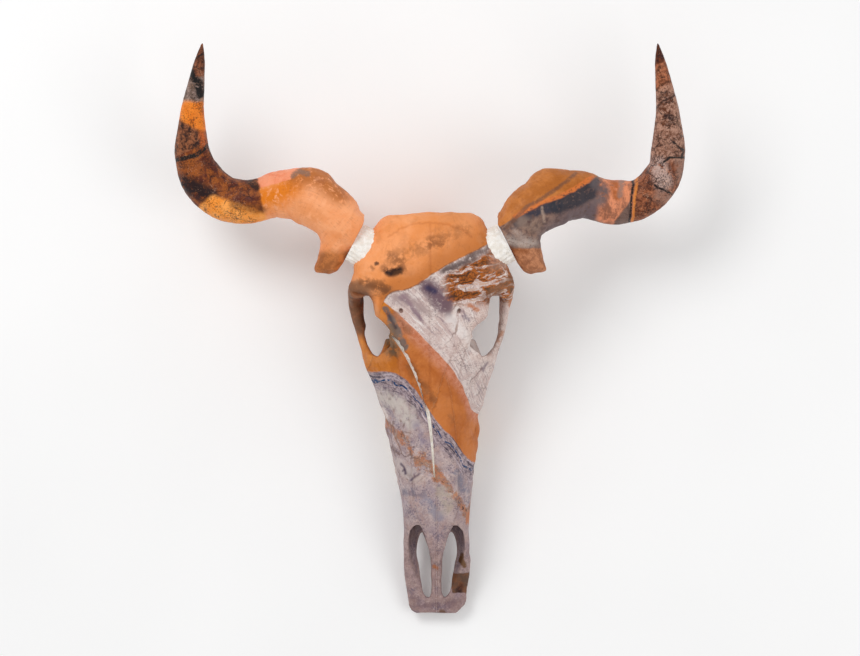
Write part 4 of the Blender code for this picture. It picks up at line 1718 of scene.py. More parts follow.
def make_beyond_line() -> None:
    """Builds the group that masks what lies to the left of a line, seen from above."""
    graph, given, leave = new_group(
        "Beyond Line",
        (WHERE, ("Start", "Vector", None), ("End", "Vector", None), ("Softness", "Float", 2)),
        (("Mask", "Float"), ("Distance", "Float")),
    )
    run = graph.vectors("NORMALIZE", graph.vectors("SUBTRACT", given["End"], given["Start"]))
    left = graph.vectors("CROSS_PRODUCT", (0, 0, 1), run)
    distance = graph.vectors("DOT_PRODUCT", graph.vectors("SUBTRACT", given["Vector"], given["Start"]), left)
    back = graph.times(given["Softness"], -1)
    graph.feed(leave.inputs["Mask"], graph.ease(distance, back, given["Softness"]))
    graph.feed(leave.inputs["Distance"], distance)


def make_near_stroke() -> None:
    """Builds the group that masks what lies near a straight stroke, seen from above."""
    graph, given, leave = new_group(
        "Near Stroke",
        (
            WHERE,
            ("Start", "Vector", None),
            ("End", "Vector", None),
            ("Radius", "Float", 3),
            ("Softness", "Float", 2),
        ),
        (("Mask", "Float"),),
    )
    flat = graph.vectors("MULTIPLY", given["Vector"], (1, 1, 0))
    from_start = graph.vectors("SUBTRACT", flat, given["Start"])
    run = graph.vectors("SUBTRACT", given["End"], given["Start"])
    square = graph.plus(graph.vectors("DOT_PRODUCT", run, run), 0.0001)
    share = graph.over(graph.vectors("DOT_PRODUCT", from_start, run), square, clamp=True)
    apart = graph.vectors("LENGTH", graph.vectors("SUBTRACT", from_start, graph.vectors("SCALE", run, share)))
    inner = graph.minus(given["Radius"], given["Softness"])
    outer = graph.plus(given["Radius"], given["Softness"])
    graph.feed(leave.inputs["Mask"], graph.minus(1, graph.ease(apart, inner, outer)))


def make_mottle() -> None:
    """Builds the group that mixes two colours in soft blots with fine grains in them."""
    graph, given, leave = new_group(
        "Mottle",
        (
            WHERE,
            ("Size", "Float", 12),
            ("Light", "Color", (0.8, 0.8, 0.8, 1)),
            ("Dark", "Color", (0.4, 0.4, 0.4, 1)),
            ("Balance", "Float", 0.5),
            ("Grain", "Float", 0.3),
        ),
        (("Color", "Color"),),
    )
    blots = graph.cloud(given["Vector"], given["Size"], 5, 0.62, 0.4)
    fine = graph.cloud(given["Vector"], graph.times(given["Size"], 0.11), 2, 0.7)
    shift = graph.times(graph.minus(fine, 0.5), given["Grain"])
    value = graph.plus(blots, shift, graph.minus(given["Balance"], 0.5))
    graph.feed(leave.inputs["Color"], graph.mix(graph.ease(value, 0.36, 0.64), given["Dark"], given["Light"]))


def make_speckle() -> None:
    """Builds the group that masks scattered flecks."""
    graph, given, leave = new_group(
        "Speckle", (WHERE, ("Size", "Float", 2), ("Amount", "Float", 0.3)), (("Mask", "Float"),)
    )
    grains = graph.cloud(given["Vector"], given["Size"], 3, 0.72)
    where = graph.cloud(given["Vector"], graph.times(given["Size"], 9), 2)
    value = graph.plus(grains, graph.times(graph.minus(where, 0.5), 0.5))
    start = graph.minus(0.78, graph.times(given["Amount"], 0.4))
    graph.feed(leave.inputs["Mask"], graph.ease(value, start, graph.plus(start, 0.07)))


def make_crackle() -> None:
    """Builds the group that masks broken crack lines."""
    graph, given, leave = new_group(
        "Crackle",
        (WHERE, ("Size", "Float", 25), ("Width", "Float", 0.02), ("Broken", "Float", 0.5)),
        (("Mask", "Float"),),
    )
    bent = graph.group(
        "Drift",
        Vector=given["Vector"],
        Size=graph.times(given["Size"], 0.4),
        Reach=graph.times(given["Size"], 0.16),
    )
    cells = graph.node(
        "TexVoronoi", {"Vector": bent, "Scale": graph.over(1, given["Size"])}, feature="DISTANCE_TO_EDGE"
    ).outputs["Distance"]
    lines = graph.minus(1, graph.ease(cells, graph.times(given["Width"], 0.3), given["Width"]))
    gaps = graph.cloud(given["Vector"], graph.times(given["Size"], 0.7), 2)
    kept = graph.ease(gaps, given["Broken"], graph.plus(given["Broken"], 0.1))
    graph.feed(leave.inputs["Mask"], graph.times(lines, kept))


def make_dry_surface() -> None:
    """Builds the group that gives the height of pores, grain and hairline cracks."""
    graph, given, leave = new_group(
        "Dry Surface",
        (WHERE, ("Pores", "Float", 0.5), ("Grain", "Float", 0.5), ("Cracks", "Float", 0.5)),
        (("Height", "Float"),),
    )
    where = given["Vector"]
    grain = graph.cloud(where, 1.6, 4, 0.65)
    swell = graph.cloud(where, 6.5, 3, 0.5)
    long = graph.cloud(graph.vectors("MULTIPLY", where, (1, 0.14, 1)), 1.3, 3, 0.6)
    spots = graph.node("TexVoronoi", {"Vector": where, "Scale": 1 / 2.4, "Randomness": 1}).outputs["Distance"]
    some = graph.ease(graph.cloud(where, 14, 2), 0.46, 0.62)
    pores = graph.times(graph.minus(1, graph.ease(spots, 0.1, 0.3)), some)
    cracks = graph.group(
        "Crackle", Vector=graph.vectors("MULTIPLY", where, (1, 0.3, 1)), Size=11, Width=0.035, Broken=0.52
    )
    height = graph.times(graph.plus(grain, long, graph.times(swell, 1.4)), given["Grain"])
    height = graph.minus(height, graph.times(pores, given["Pores"]))
    height = graph.minus(height, graph.times(cracks, given["Cracks"]))
    graph.feed(leave.inputs["Height"], height)


def make_grime() -> None:
    """Builds the group that paints shade into hollows, darkens sutures and pales worn edges."""
    graph, given, leave = new_group(
        "Grime",
        (
            WHERE,
            ("Color", "Color", (0.5, 0.5, 0.5, 1)),
            ("Hollow", "Float", 0.5),
            ("Seam", "Float", 0),
            ("Depth", "Float", 0.6),
        ),
        (("Color", "Color"), ("Mask", "Float")),
    )
    uneven = graph.times(graph.minus(graph.cloud(given["Vector"], 7), 0.5), 0.3)
    # painted shade: sunken places are darkened as shade in the hollows, and sutures darken as dark joints
    hollow_shade = graph.ease(graph.plus(given["Hollow"], uneven), 0.56, 0.86)
    worn = graph.minus(1, graph.ease(graph.plus(given["Hollow"], uneven), 0.1, 0.42))
    shade_and_seams = graph.maths("MAXIMUM", hollow_shade, graph.times(given["Seam"], 0.38))
    # the painted shade and dark sutures: the colour multiplied by a dark brown where that mask is high
    dark = graph.mix(
        graph.times(shade_and_seams, given["Depth"]),
        given["Color"],
        graph.mix(1, given["Color"], paint(146, 96, 66), "MULTIPLY"),
    )
    pale = graph.mix(graph.times(worn, 0.1), dark, paint(232, 190, 156))
    graph.feed(leave.inputs["Color"], pale)
    graph.feed(leave.inputs["Mask"], shade_and_seams)


def make_effects() -> None:
    """Builds the node groups, each before the first that uses it."""
    make_drift()
    make_beyond_line()
    make_near_stroke()
    make_mottle()
    make_speckle()
    make_crackle()
    make_dry_surface()
    make_grime()


@dataclass(frozen=True)
class Finish:
    """What every finish shares.

    Attributes:
        name: the material's name.
    """

    name: str

    def start(self) -> tuple[Graph, Node, NodeSocket]:
        """Starts a material.

        Returns:
            A graph on its tree, its shader, and the place on the object in millimetres.
        """
        material = bpy.data.materials.new(self.name)
        material.use_nodes = True
        graph = Graph(material.node_tree)
        shader = material.node_tree.nodes["Principled BSDF"]
        place = graph.node("TexCoord").outputs["Object"]
        return graph, shader, graph.vectors("SCALE", place, 1 / MM)

    def relief(self, graph: Graph, shader: Node, place: NodeSocket, dry: Place, depth: float,
               extra: NodeSocket | None = None) -> None:
        """Feeds a dry surface, and any further height, to the shader's normal.

        Args:
            graph: the material's graph.
            shader: its shader.
            place: the place on the object.
            dry: how strong its pores, grain and cracks are.
            depth: the depth in millimetres of a height of 1.
            extra: a height to add.
        """
        pores, grain, cracks = dry
        height = graph.group("Dry Surface", Vector=place, Pores=pores, Grain=grain, Cracks=cracks)
        if extra is not None:
            height = graph.plus(height, extra)
        bump = graph.node("Bump", {"Height": height, "Distance": depth * MM})
        graph.feed(shader.inputs["Normal"], bump.outputs["Normal"])


@dataclass(frozen=True)
class Patch:
    """A stain over an area seen from above.

    Attributes:
        corners: two points, for all that lies to the left of their line, or the corners of a simple area,
            counted against the clock.
        light, dark: its two colours.
        size: size of its blots.
        soft: how soft its edge is.
        balance: above 0.5 it is mostly light.
        drawn: whether its blots are drawn out along the skull.
    """

    corners: tuple[Point, ...]
    light: Tint
    dark: Tint
    size: float = 12
    soft: float = 2
    balance: float = 0.5
    drawn: bool = False

    def lay(self, graph: Graph, colour: Value, edge: NodeSocket, places: Sequence[NodeSocket]) -> NodeSocket:
        """Covers a colour with the patch.

        Args:
            graph: the material's graph.
            colour: what lies under the patch.
            edge: the place that its edge reads.
            places: the place that its blots read, the same drawn out, and a fine and a broad break-up.

        Returns:
            The colour with the patch on it.
        """
        mask: Value = 1
        ring = (*self.corners, self.corners[0]) if len(self.corners) > 2 else self.corners
        for start, end in zip(ring, ring[1:]):
            inside = graph.group(
                "Beyond Line", Vector=edge, Start=(*start, 0), End=(*end, 0), Softness=self.soft
            )
            mask = graph.times(mask, inside)
        light, dark = paint(*self.light), paint(*self.dark)
        blots = graph.group(
            "Mottle", Vector=places[self.drawn], Size=self.size, Light=light, Dark=dark, Balance=self.balance
        )
        return graph.mix(mask, colour, blots)


@dataclass(frozen=True)
class Stroke:
    """A narrow stain along a line of points seen from above."""

    points: tuple[Point, ...]
    radius: float
    colour: Tint
    soft: float = 1.5
    share: float = 0.9

    def lay(self, graph: Graph, colour: Value, edge: NodeSocket, places: Sequence[NodeSocket]) -> NodeSocket:
        """Draws the stroke over a colour, broken up a little.

        Args:
            graph: the material's graph.
            colour: what lies under the stroke.
            edge: the place that its edge reads.
            places: the places of a patch, whose last two break it up.

        Returns:
            The new colour.
        """
        mask: Value = 0
        for start, end in zip(self.points, self.points[1:]):
            ends = {"Start": (*start, 0), "End": (*end, 0)}
            near = graph.group("Near Stroke", Vector=edge, **ends, Radius=self.radius, Softness=self.soft)
            mask = graph.maths("MAXIMUM", mask, near)
        broken = graph.times(places[3 if self.radius > 4.5 else 2], self.share)
        return graph.mix(graph.times(mask, broken), colour, paint(*self.colour))

    def cover(self, spots: np.ndarray) -> np.ndarray:
        """Gives how far the stroke covers each spot, from 0 to 1.

        Args:
            spots: places across and along, one row each.

        Returns:
            The cover at each.
        """
        apart = np.full(len(spots), FAR)
        for start, end in zip(self.points, self.points[1:]):
            run = np.subtract(end, start)
            share = np.clip((spots - start) @ run / (run @ run), 0, 1)
            apart = np.minimum(apart, np.linalg.norm(spots - start - share[:, None] * run, axis=1))
        return self.share * (1 - ease_step(apart, self.radius - self.soft, self.radius + self.soft))


Stain = Patch | Stroke


def stained(
    graph: Graph, colour: Value, edge: NodeSocket, blot: NodeSocket, stains: Sequence[Stain]
) -> NodeSocket:
    """Lays stains over a colour, each over the one before.

    Args:
        graph: the material's graph.
        colour: what lies under them.
        edge: the place that their edges read.
        blot: the place that their blots read.
        stains: the stains, the lowest first.

    Returns:
        The new colour.
    """
    drawn = graph.vectors("MULTIPLY", blot, (1, 0.3, 1))
    breaks = [graph.ease(graph.cloud(blot, size, 4, 0.65), 0.3, 0.5) for size in (2.6, 7)]
    for stain in stains:
        colour = stain.lay(graph, colour, edge, (blot, drawn, *breaks))
    return colour


@dataclass(frozen=True)
class StainedBone(Finish):
    """Dry bone with orange, grey and slate stains in bands across the face.

    Attributes:
        brow_line: where the orange of the brow ends, as places across and along.
        upper_line, lower_line: the borders of the orange band across the face.
        vein: the run of the rust vein across the muzzle.
        brow_patches, cheek_patch, tip_patch: blots with an edge on the left bar, left cheek and the tip.
        brow_blots, grey_blots, band_blots, muzzle_blots: the soft strokes on each band.
    """

    name: str = "stained_bone"
    brow_line: tuple[Point, ...] = (
        (-100, -70), (-82, -56), (-70, -44), (-60, 4), (-54, 29), (-44, 40.5), (-27.5, 44.3), (-16.7, 48.6),
        (-3, 58), (12, 67.6), (40, 83), (62, 94), (73, 102), (100, 124),
    )
    upper_line: tuple[Point, ...] = (
        (-100, 68), (-52, 29.6), (-27.5, 8.6), (-0.3, -19.2), (21.3, -42.3), (36, -64), (43.6, -83),
        (56, -112), (80, -170), (100, -230),
    )
    lower_line: tuple[Point, ...] = (
        (-100, -47), (-68, -50.4), (-44, -51), (-32.7, -55.5), (-21.3, -66), (-10.8, -79), (0, -95.6),
        (15, -115.6), (28.3, -129), (37.8, -144), (49.3, -163), (70, -202), (100, -262),
    )
    vein: tuple[Point, ...] = (
        (-100, -108), (-46, -124), (-29, -131), (-18, -148), (-2, -157), (8, -165), (20, -181), (38, -206),
        (47, -219), (70, -250),
    )
    brow_patches: tuple[Patch, ...] = (
        Patch(((-67, 46), (-98, 52), (-98, -60), (-60, -60)), (138, 84, 56), (96, 58, 40), 15, 6),
        Patch(((-100, -6), (-100, -90), (-40, -90), (-40, -16)), (212, 130, 52), (192, 112, 44), 20, 8),
    )
    brow_blots: tuple[Stroke, ...] = (
        Stroke(((40, 112), (14, 104), (-10, 92), (-42, 80)), 10, (168, 106, 64), 9, 0.6),
        Stroke(((4, 98), (14, 96)), 7, (140, 86, 54), 7, 0.6),
        Stroke(((-44, 82), (-34, 76)), 5, (132, 84, 54), 5, 0.6),
        Stroke(((-62.5, 73), (-60.5, 74)), 2, (62, 42, 32), 1.4),
        Stroke(((-70, 71), (-66, 69)), 2.6, (150, 94, 58), 2.6, 0.7),
        Stroke(((-54, 68), (-44, 64), (-30, 68)), 5.6, (146, 92, 60), 5, 0.8),
        Stroke(((-50, 64.5), (-46, 63.5)), 4, (50, 34, 28), 2.6, 1),
        Stroke(((-43, 66.5), (-34, 67.5)), 3, (60, 42, 34), 2.6, 1),
        Stroke(((-41, 62.5), (-35, 63.5)), 2.6, (72, 50, 38), 2.2, 0.9),
        Stroke(((-88, 48), (-72, 50), (-50, 44)), 8, (116, 74, 50), 7),
    )
    grey_blots: tuple[Stroke, ...] = (
        Stroke(((-3, 48), (6, 40), (16, 26)), 11, (112, 88, 98), 8, 0.95),
        Stroke(((-2, 47), (5, 41)), 3.4, (56, 54, 84), 3, 0.85),
        Stroke(((16, 66), (34, 74), (48, 81)), 5, (98, 82, 80), 5, 0.95),
        Stroke(((46, 84), (66, 91)), 4.4, (112, 94, 90), 4.4, 0.85),
        Stroke(((-38, 36), (-24, 31), (-8, 22)), 9, (168, 146, 144), 9, 0.85),
        Stroke(((-30, 38), (-22, 26), (-10, 10)), 2.4, (140, 112, 124), 2.4, 0.7),
        Stroke(((36, 18), (44, 10)), 4, (106, 88, 108), 4, 0.7),
        Stroke(((20, 26), (24, 10)), 4, (116, 92, 98), 3.4, 0.8),
        Stroke(((30, 24), (28, 14)), 2.4, (232, 222, 218), 2, 0.8),
        Stroke(((24, 8), (40, -8), (52, -26)), 7, (236, 226, 222), 6, 0.8),
        Stroke(((-34, 36), (-12, 12), (8, -10)), 1.6, (136, 114, 124), 1.4, 0.6),
        Stroke(((93, 30), (94, 22)), 4, (184, 108, 58), 3, 0.8),
        Stroke(((83, -4), (80, -12)), 3.4, (172, 110, 76), 3, 0.7),
        Stroke(((66, 36), (80, 44), (94, 56)), 7, (112, 70, 48), 5, 0.8),
        Stroke(((44, 26), (54, 22)), 3, (186, 108, 60), 2.6, 0.8),
        Stroke(((64, -40), (60, -48)), 3, (104, 90, 106), 3, 0.7),
    )
    cheek_patch: Patch = Patch(((-34, -80), (-40, 20)), (206, 124, 52), (184, 106, 44), 22, 3)
    band_blots: tuple[Stroke, ...] = (
        Stroke(((-40, 16), (-26, -2)), 6, (148, 98, 72), 5, 0.7),
        Stroke(((-51, 22), (-45, 8)), 3.4, (108, 96, 94), 1.4),
        Stroke(((-45, 8), (-38, -4), (-29, -20)), 5, (118, 104, 98), 1.6, 0.95),
        Stroke(((-50, 16), (-40, 0)), 1.6, (50, 48, 66), 1.4, 0.8),
        Stroke(((-50, -6), (-42, -26)), 9, (104, 80, 60), 8, 1),
        Stroke(((-22, -44), (-12, -62), (4, -84)), 6, (136, 84, 52), 6, 0.75),
        Stroke(((22, -100), (30, -112)), 4, (146, 92, 58), 4, 0.5),
    )
    tip_patch: Patch = Patch(
        ((26, -306), (60, -309), (60, -283), (25, -282.5)), (104, 58, 22), (54, 30, 16), 14, 0.8,
    )
    muzzle_blots: tuple[Stroke, ...] = (
        Stroke(((-58, -78), (-36, -88), (-22, -108)), 10, (206, 196, 188), 8, 0.8),
        Stroke(((-54, -94), (-50, -102)), 3, (226, 212, 206), 2.4, 0.8),
        Stroke(((-16, -112), (-8, -128)), 6, (138, 126, 146), 6, 0.6),
        Stroke(((-40, -158), (-14, -172)), 9, (196, 182, 178), 7, 0.7),
        Stroke(((-35, -156), (-30, -160), (-28, -168)), 1.3, (78, 62, 82), 1.3, 0.95),
        Stroke(((-32, -164), (-29, -163)), 1.2, (78, 62, 82), 1.2, 0.9),
        Stroke(((-22, -175), (-18, -170), (-12, -167)), 1.2, (84, 70, 92), 1.2, 0.95),
        Stroke(((-20, -168), (-18, -171)), 1.1, (84, 70, 92), 1.1, 0.9),
        Stroke(((-28, -188), (-10, -190)), 6, (100, 96, 116), 5, 0.7),
        Stroke(((-4, -200), (10, -216)), 8, (142, 138, 152), 7, 0.7),
        Stroke(((30, -168), (38, -184)), 7, (116, 116, 134), 5, 0.7),
        Stroke(((14, -188), (22, -206)), 9, (178, 164, 150), 7, 0.7),
        Stroke(((46, -214), (46, -222)), 5, (186, 112, 70), 4),
        Stroke(((37, -262), (36, -268), (40, -274)), 3.2, (92, 62, 40), 1.2, 1),
        Stroke(((4, -276), (8, -277)), 2.4, (168, 98, 58), 1.8),
        Stroke(((-26, -300), (-20, -312)), 2, (104, 98, 118), 2, 0.6),
        Stroke(((-26, -317), (0, -321), (34, -317)), 9, (116, 92, 96), 9, 0.7),
        Stroke(((12, -327), (17, -327)), 2.4, (78, 48, 32), 1.4),
    )

    def curve(self, graph: Graph, parts: Sequence[NodeSocket], points: Sequence[Point]) -> NodeSocket:
        """Gives how far a place lies beyond a line, towards the crown.

        Args:
            graph: the material's graph.
            parts: the place's parts.
            points: the line's places across and along.

        Returns:
            The distance along the skull.
        """
        low_x, wide = points[0][0], points[-1][0] - points[0][0]
        low_y = min(y for _, y in points)
        tall = max(y for _, y in points) - low_y
        share = graph.over(graph.minus(parts[0], low_x), wide)
        made = graph.node("FloatCurve", {"Factor": 1, "Value": share})
        line = made.mapping.curves[0]
        spots = [((x - low_x) / wide, (y - low_y) / tall) for x, y in points]
        line.points[0].location, line.points[1].location = spots[0], spots[-1]
        for spot in spots[1:-1]:
            line.points.new(*spot)
        made.mapping.update()
        return graph.minus(parts[1], graph.maths("MULTIPLY_ADD", made.outputs["Value"], tall, low_y))

    def strata(self, graph: Graph, place: NodeSocket) -> NodeSocket:
        """Lays the bands flat as seen from above, and lets them run on down the sides of the skull.

        Args:
            graph: the material's graph.
            place: the place on the object.

        Returns:
            The place in the bands.
        """
        parts = graph.node("SeparateXYZ", {0: place}).outputs
        forward = graph.over(graph.minus(68, parts[1]), 395, clamp=True)
        top = graph.maths("MULTIPLY_ADD", graph.maths("POWER", forward, 1.6), -147, 165)
        spare = graph.ease(parts[1], -120, -50, 14, 90)
        fall = graph.maths("MINIMUM", graph.plus(graph.minus(parts[2], top), spare), 0)
        along = graph.maths("MULTIPLY_ADD", fall, 0.35, parts[1])
        high = graph.times(parts[2], 0.7)
        return graph.node("CombineXYZ", {0: parts[0], 1: along, 2: high}).outputs[0]

    def blend_colour(self, graph: Graph, place: NodeSocket) -> NodeSocket:
        """Mixes the stains of every zone.

        Args:
            graph: the material's graph.
            place: the place on the object.

        Returns:
            The colour before the painted shade in hollows, the dark sutures and wear.
        """
        flat = self.strata(graph, place)
        edge = graph.group("Drift", Vector=flat, Size=12, Reach=1.3)
        soft = graph.group("Drift", Vector=flat, Size=18, Reach=4, Seed=40)
        parts = graph.node("SeparateXYZ", {0: edge}).outputs
        brow = self.curve(graph, parts, self.brow_line)
        upper = graph.times(self.curve(graph, parts, self.upper_line), 0.64)
        lower = graph.times(self.curve(graph, parts, self.lower_line), 0.64)
        colour = self.muzzle(graph, soft, place, parts)
        colour = self.slate_over(graph, colour, soft, lower)
        colour = graph.mix(graph.ease(lower, -0.7, 0.7), colour, self.orange_band(graph, soft, upper))
        colour = graph.mix(
            graph.ease(upper, -0.7, 0.7), colour, self.grey_band(graph, soft, place, upper, brow)
        )
        colour = graph.mix(graph.ease(brow, -0.9, 0.9), colour, self.brow(graph, soft, brow))
        cover = graph.node("Attribute", attribute_name="blot_cover").outputs["Fac"]
        uneven = graph.maths("MULTIPLY_ADD", cover, 0.32, graph.cloud(soft, 7, 7, 0.68))
        broken = graph.ease(uneven, 0.54, 0.78)
        tint = graph.node("Attribute", attribute_name="blot").outputs["Vector"]
        colour = graph.mix(graph.times(cover, broken), colour, (0, 0, 0, 1))
        colour = graph.vectors("ADD", colour, graph.vectors("SCALE", tint, broken))
        rim = graph.minus(1, graph.ease(graph.maths("ABSOLUTE", brow), 0.4, 2.2))
        rim = graph.times(rim, graph.ease(graph.cloud(place, 6, 3), 0.4, 0.6))
        return graph.mix(graph.times(rim, 0.6), colour, paint(112, 74, 54))

    def lay_blots(self, piece: Object) -> None:
        """Keeps the soft strokes of every band as a colour and a cover at each vertex of a bone.

        Args:
            piece: the bone.
        """
        points = points_of(piece)
        spots = points[:, :2] + 2.5 * np.stack([ripples(points, 13, seed) for seed in (1, 2)], axis=1)
        inside = [
            ease_step(spots[:, 1] - np.interp(spots[:, 0], *zip(*line)), -1.5, 1.5)
            for line in (self.brow_line, self.upper_line, self.lower_line)
        ]
        bands = (
            (self.brow_blots, inside[0]),
            (self.grey_blots, inside[1] * (1 - inside[0])),
            (self.band_blots, inside[2] * (1 - inside[1])),
            (self.muzzle_blots, 1 - inside[2]),
        )
        tint = np.zeros((len(points), 3))
        cover = np.zeros(len(points))
        for blots, band in bands:
            for blot in blots:
                share = blot.cover(spots) * band
                tint = tint * (1 - share[:, None]) + share[:, None] * np.array(paint(*blot.colour)[:3])
                cover = cover * (1 - share) + share
        store(piece, "blot", tint)
        store(piece, "blot_cover", cover)

    def mottle(self, graph: Graph, where: NodeSocket, size: float, light: Colour, dark: Colour,
               grain: float = 0.3) -> NodeSocket:
        """Places a Mottle group and gives its colour."""
        return graph.group("Mottle", Vector=where, Size=size, Light=light, Dark=dark, Grain=grain)

    def brow(self, graph: Graph, where: NodeSocket, above: NodeSocket) -> NodeSocket:
        """Mixes the warm orange of the brow, browner to the right and towards its lower edge.

        Args:
            graph: the material's graph.
            where: the place that its blots read.
            above: how far it lies beyond the border of the brow.

        Returns:
            The colour.
        """
        colour = self.mottle(graph, where, 44, paint(247, 164, 108), paint(234, 146, 84), 0.1)
        parts = graph.node("SeparateXYZ", {0: where}).outputs
        rightward = graph.ease(parts[0], -30, 46)
        colour = graph.mix(graph.times(rightward, 0.5), colour, paint(212, 132, 76))
        low = graph.ease(above, 34, 4)
        colour = graph.mix(graph.times(low, 0.8), colour, paint(192, 114, 58))
        cloudy = graph.ease(graph.cloud(where, 17, 5, 0.62), 0.5, 0.68)
        colour = graph.mix(graph.times(cloudy, 0.3), colour, paint(186, 116, 70))
        return stained(graph, colour, where, where, self.brow_patches)

    def grey_band(self, graph: Graph, where: NodeSocket, place: NodeSocket, outside: NodeSocket,
                  brow: NodeSocket) -> NodeSocket:
        """Mixes the grey band, with streaks along its lower border and rust crumbs at its far end.

        Args:
            graph: the material's graph.
            where: the place that its blots read.
            place: the place on the object.
            outside: how far it lies beyond the band's lower border.
            brow: how far it lies beyond the border of the brow.

        Returns:
            The band's colour.
        """
        colour = self.mottle(graph, where, 11, paint(224, 208, 202), paint(202, 178, 172), 0.7)
        parts = graph.node("SeparateXYZ", {0: where}).outputs
        run = graph.minus(parts[0], parts[1])
        streaky = graph.node("CombineXYZ", {0: graph.over(outside, 2.6), 1: graph.over(run, 52)})
        streaks = graph.cloud(streaky.outputs[0], 1, 5, 0.62, 0.2)
        colour = graph.mix(graph.ease(streaks, 0.54, 0.68), colour, paint(230, 220, 216))
        colour = graph.mix(graph.ease(streaks, 0.46, 0.34, 0, 0.7), colour, paint(150, 128, 134))
        specks = graph.group("Speckle", Vector=place, Size=1.8, Amount=0.5)
        colour = graph.mix(graph.times(specks, 0.55), colour, paint(112, 94, 96))
        lines = graph.group("Crackle", Vector=where, Size=24, Width=0.04, Broken=0.5)
        rightward = graph.ease(parts[0], 14, 30)
        lines = graph.times(lines, rightward)
        colour = graph.mix(graph.times(lines, 0.55), colour, paint(112, 86, 80))
        ridges = graph.vectors(
            "MULTIPLY", graph.node("VectorRotate", {"Vector": where, "Angle": -0.2}).outputs[0], (0.3, 1, 1)
        )
        rows = graph.cloud(ridges, 8.5, 6, 0.66, 0.8)
        zone = graph.times(graph.ease(parts[0], 6, 24), graph.ease(parts[1], 22, 34))
        zone = graph.times(zone, graph.ease(brow, -6, -13))
        rust = self.mottle(graph, place, 2.6, paint(186, 104, 44), paint(102, 62, 40), 0.9)
        rust = graph.mix(graph.ease(rows, 0.54, 0.64), rust, paint(84, 56, 42))
        crumbs = graph.times(graph.ease(rows, 0.43, 0.51), zone)
        colour = graph.mix(graph.times(zone, graph.ease(rows, 0.42, 0.36)), colour, paint(200, 164, 144))
        colour = graph.mix(crumbs, colour, rust)
        far = graph.times(graph.ease(parts[0], 62, 74), graph.ease(parts[1], 60, 76))
        rosy = self.mottle(graph, place, 4, paint(196, 142, 118), paint(132, 104, 94), 0.8)
        return graph.mix(graph.times(far, 0.8), colour, rosy)

    def orange_band(self, graph: Graph, where: NodeSocket, outside: NodeSocket) -> NodeSocket:
        """Mixes the orange band, pinker along its upper edge and browner in its middle.

        Args:
            graph: the material's graph.
            where: the place that its blots read.
            outside: how far it lies beyond the band's upper border.

        Returns:
            The colour.
        """
        colour = self.mottle(graph, where, 30, paint(202, 122, 66), paint(180, 102, 52), 0.15)
        rosy = self.mottle(graph, where, 5, paint(214, 148, 122), paint(190, 116, 86), 0.6)
        colour = graph.mix(graph.ease(outside, -17, -3, 0, 0.85), colour, rosy)
        return stained(graph, colour, where, where, (self.cheek_patch,))

    def slate_over(
        self, graph: Graph, colour: NodeSocket, where: NodeSocket, outside: NodeSocket
    ) -> NodeSocket:
        """Lays the slate band, with blue lines and white streaks, under the orange one.

        Args:
            graph: the material's graph.
            colour: what lies under the band.
            where: the place that its blots read.
            outside: how far it lies beyond the orange band's lower border.

        Returns:
            The new colour.
        """
        parts = graph.node("SeparateXYZ", {0: where}).outputs
        run = graph.minus(parts[0], parts[1])
        streaky = graph.node("CombineXYZ", {0: graph.over(outside, 2.4), 1: graph.over(run, 30)})
        streaks = graph.cloud(streaky.outputs[0], 1, 5, 0.66, 0.4)
        slate = self.mottle(graph, where, 4.5, paint(184, 164, 166), paint(112, 98, 108), 0.8)
        slate = graph.mix(graph.ease(streaks, 0.54, 0.64), slate, paint(200, 184, 192))
        slate = graph.mix(graph.ease(streaks, 0.46, 0.38), slate, paint(66, 60, 76))
        wave = graph.maths("MULTIPLY_ADD", graph.cloud(where, 12, 3), 7, -3.5)
        near = graph.maths("ABSOLUTE", graph.plus(outside, 7, wave))
        blue = graph.times(graph.ease(near, 1.2, 0.4), graph.ease(graph.cloud(where, 7, 3), 0.4, 0.5))
        slate = graph.mix(blue, slate, paint(38, 68, 108))
        rough = graph.maths("MULTIPLY_ADD", graph.cloud(where, 8, 4), 14, -26)
        return graph.mix(graph.ease(outside, rough, graph.plus(rough, 7)), colour, slate)

    def muzzle(
        self, graph: Graph, where: NodeSocket, place: NodeSocket, parts: Sequence[NodeSocket]
    ) -> NodeSocket:
        """Mixes the mauve grey of the muzzle, with dark specks and the rust vein.

        Args:
            graph: the material's graph.
            where: the place that its blots read.
            place: the place on the object.
            parts: the place that the vein's edge reads, in its three parts.

        Returns:
            The colour.
        """
        colour = self.mottle(graph, where, 13, paint(197, 178, 176), paint(163, 142, 144), 0.6)
        lilac = graph.ease(graph.cloud(graph.vectors("ADD", where, (0, 0, 30)), 20, 5), 0.5, 0.62)
        colour = graph.mix(graph.times(lilac, 0.45), colour, paint(156, 142, 156))
        pink = graph.ease(graph.cloud(graph.vectors("ADD", where, (0, 0, 70)), 9, 5, 0.65), 0.53, 0.62)
        colour = graph.mix(graph.times(pink, 0.5), colour, paint(182, 150, 142))
        tipward = graph.ease(parts[1], -190, -268, 0, 0.7)
        tip = self.mottle(graph, where, 4, paint(158, 132, 134), paint(104, 84, 92), 0.8)
        colour = graph.mix(tipward, colour, tip)
        ragged = graph.maths("MULTIPLY_ADD", graph.cloud(where, 15, 6, 0.68), 52, -18.5)
        vein = graph.minus(ragged, graph.maths("ABSOLUTE", self.curve(graph, parts, self.vein)))
        rust = self.mottle(graph, where, 9, paint(190, 114, 66), paint(142, 114, 98), 1.1)
        colour = graph.mix(graph.ease(vein, -3, 4, 0, 0.85), colour, rust)
        brown = graph.ease(graph.cloud(where, 5, 4), 0.55, 0.63)
        colour = graph.mix(graph.times(graph.ease(vein, 1, 6), brown), colour, paint(96, 66, 54))
        leftward = graph.times(graph.ease(parts[0], 8, -22), graph.ease(parts[1], -184, -168))
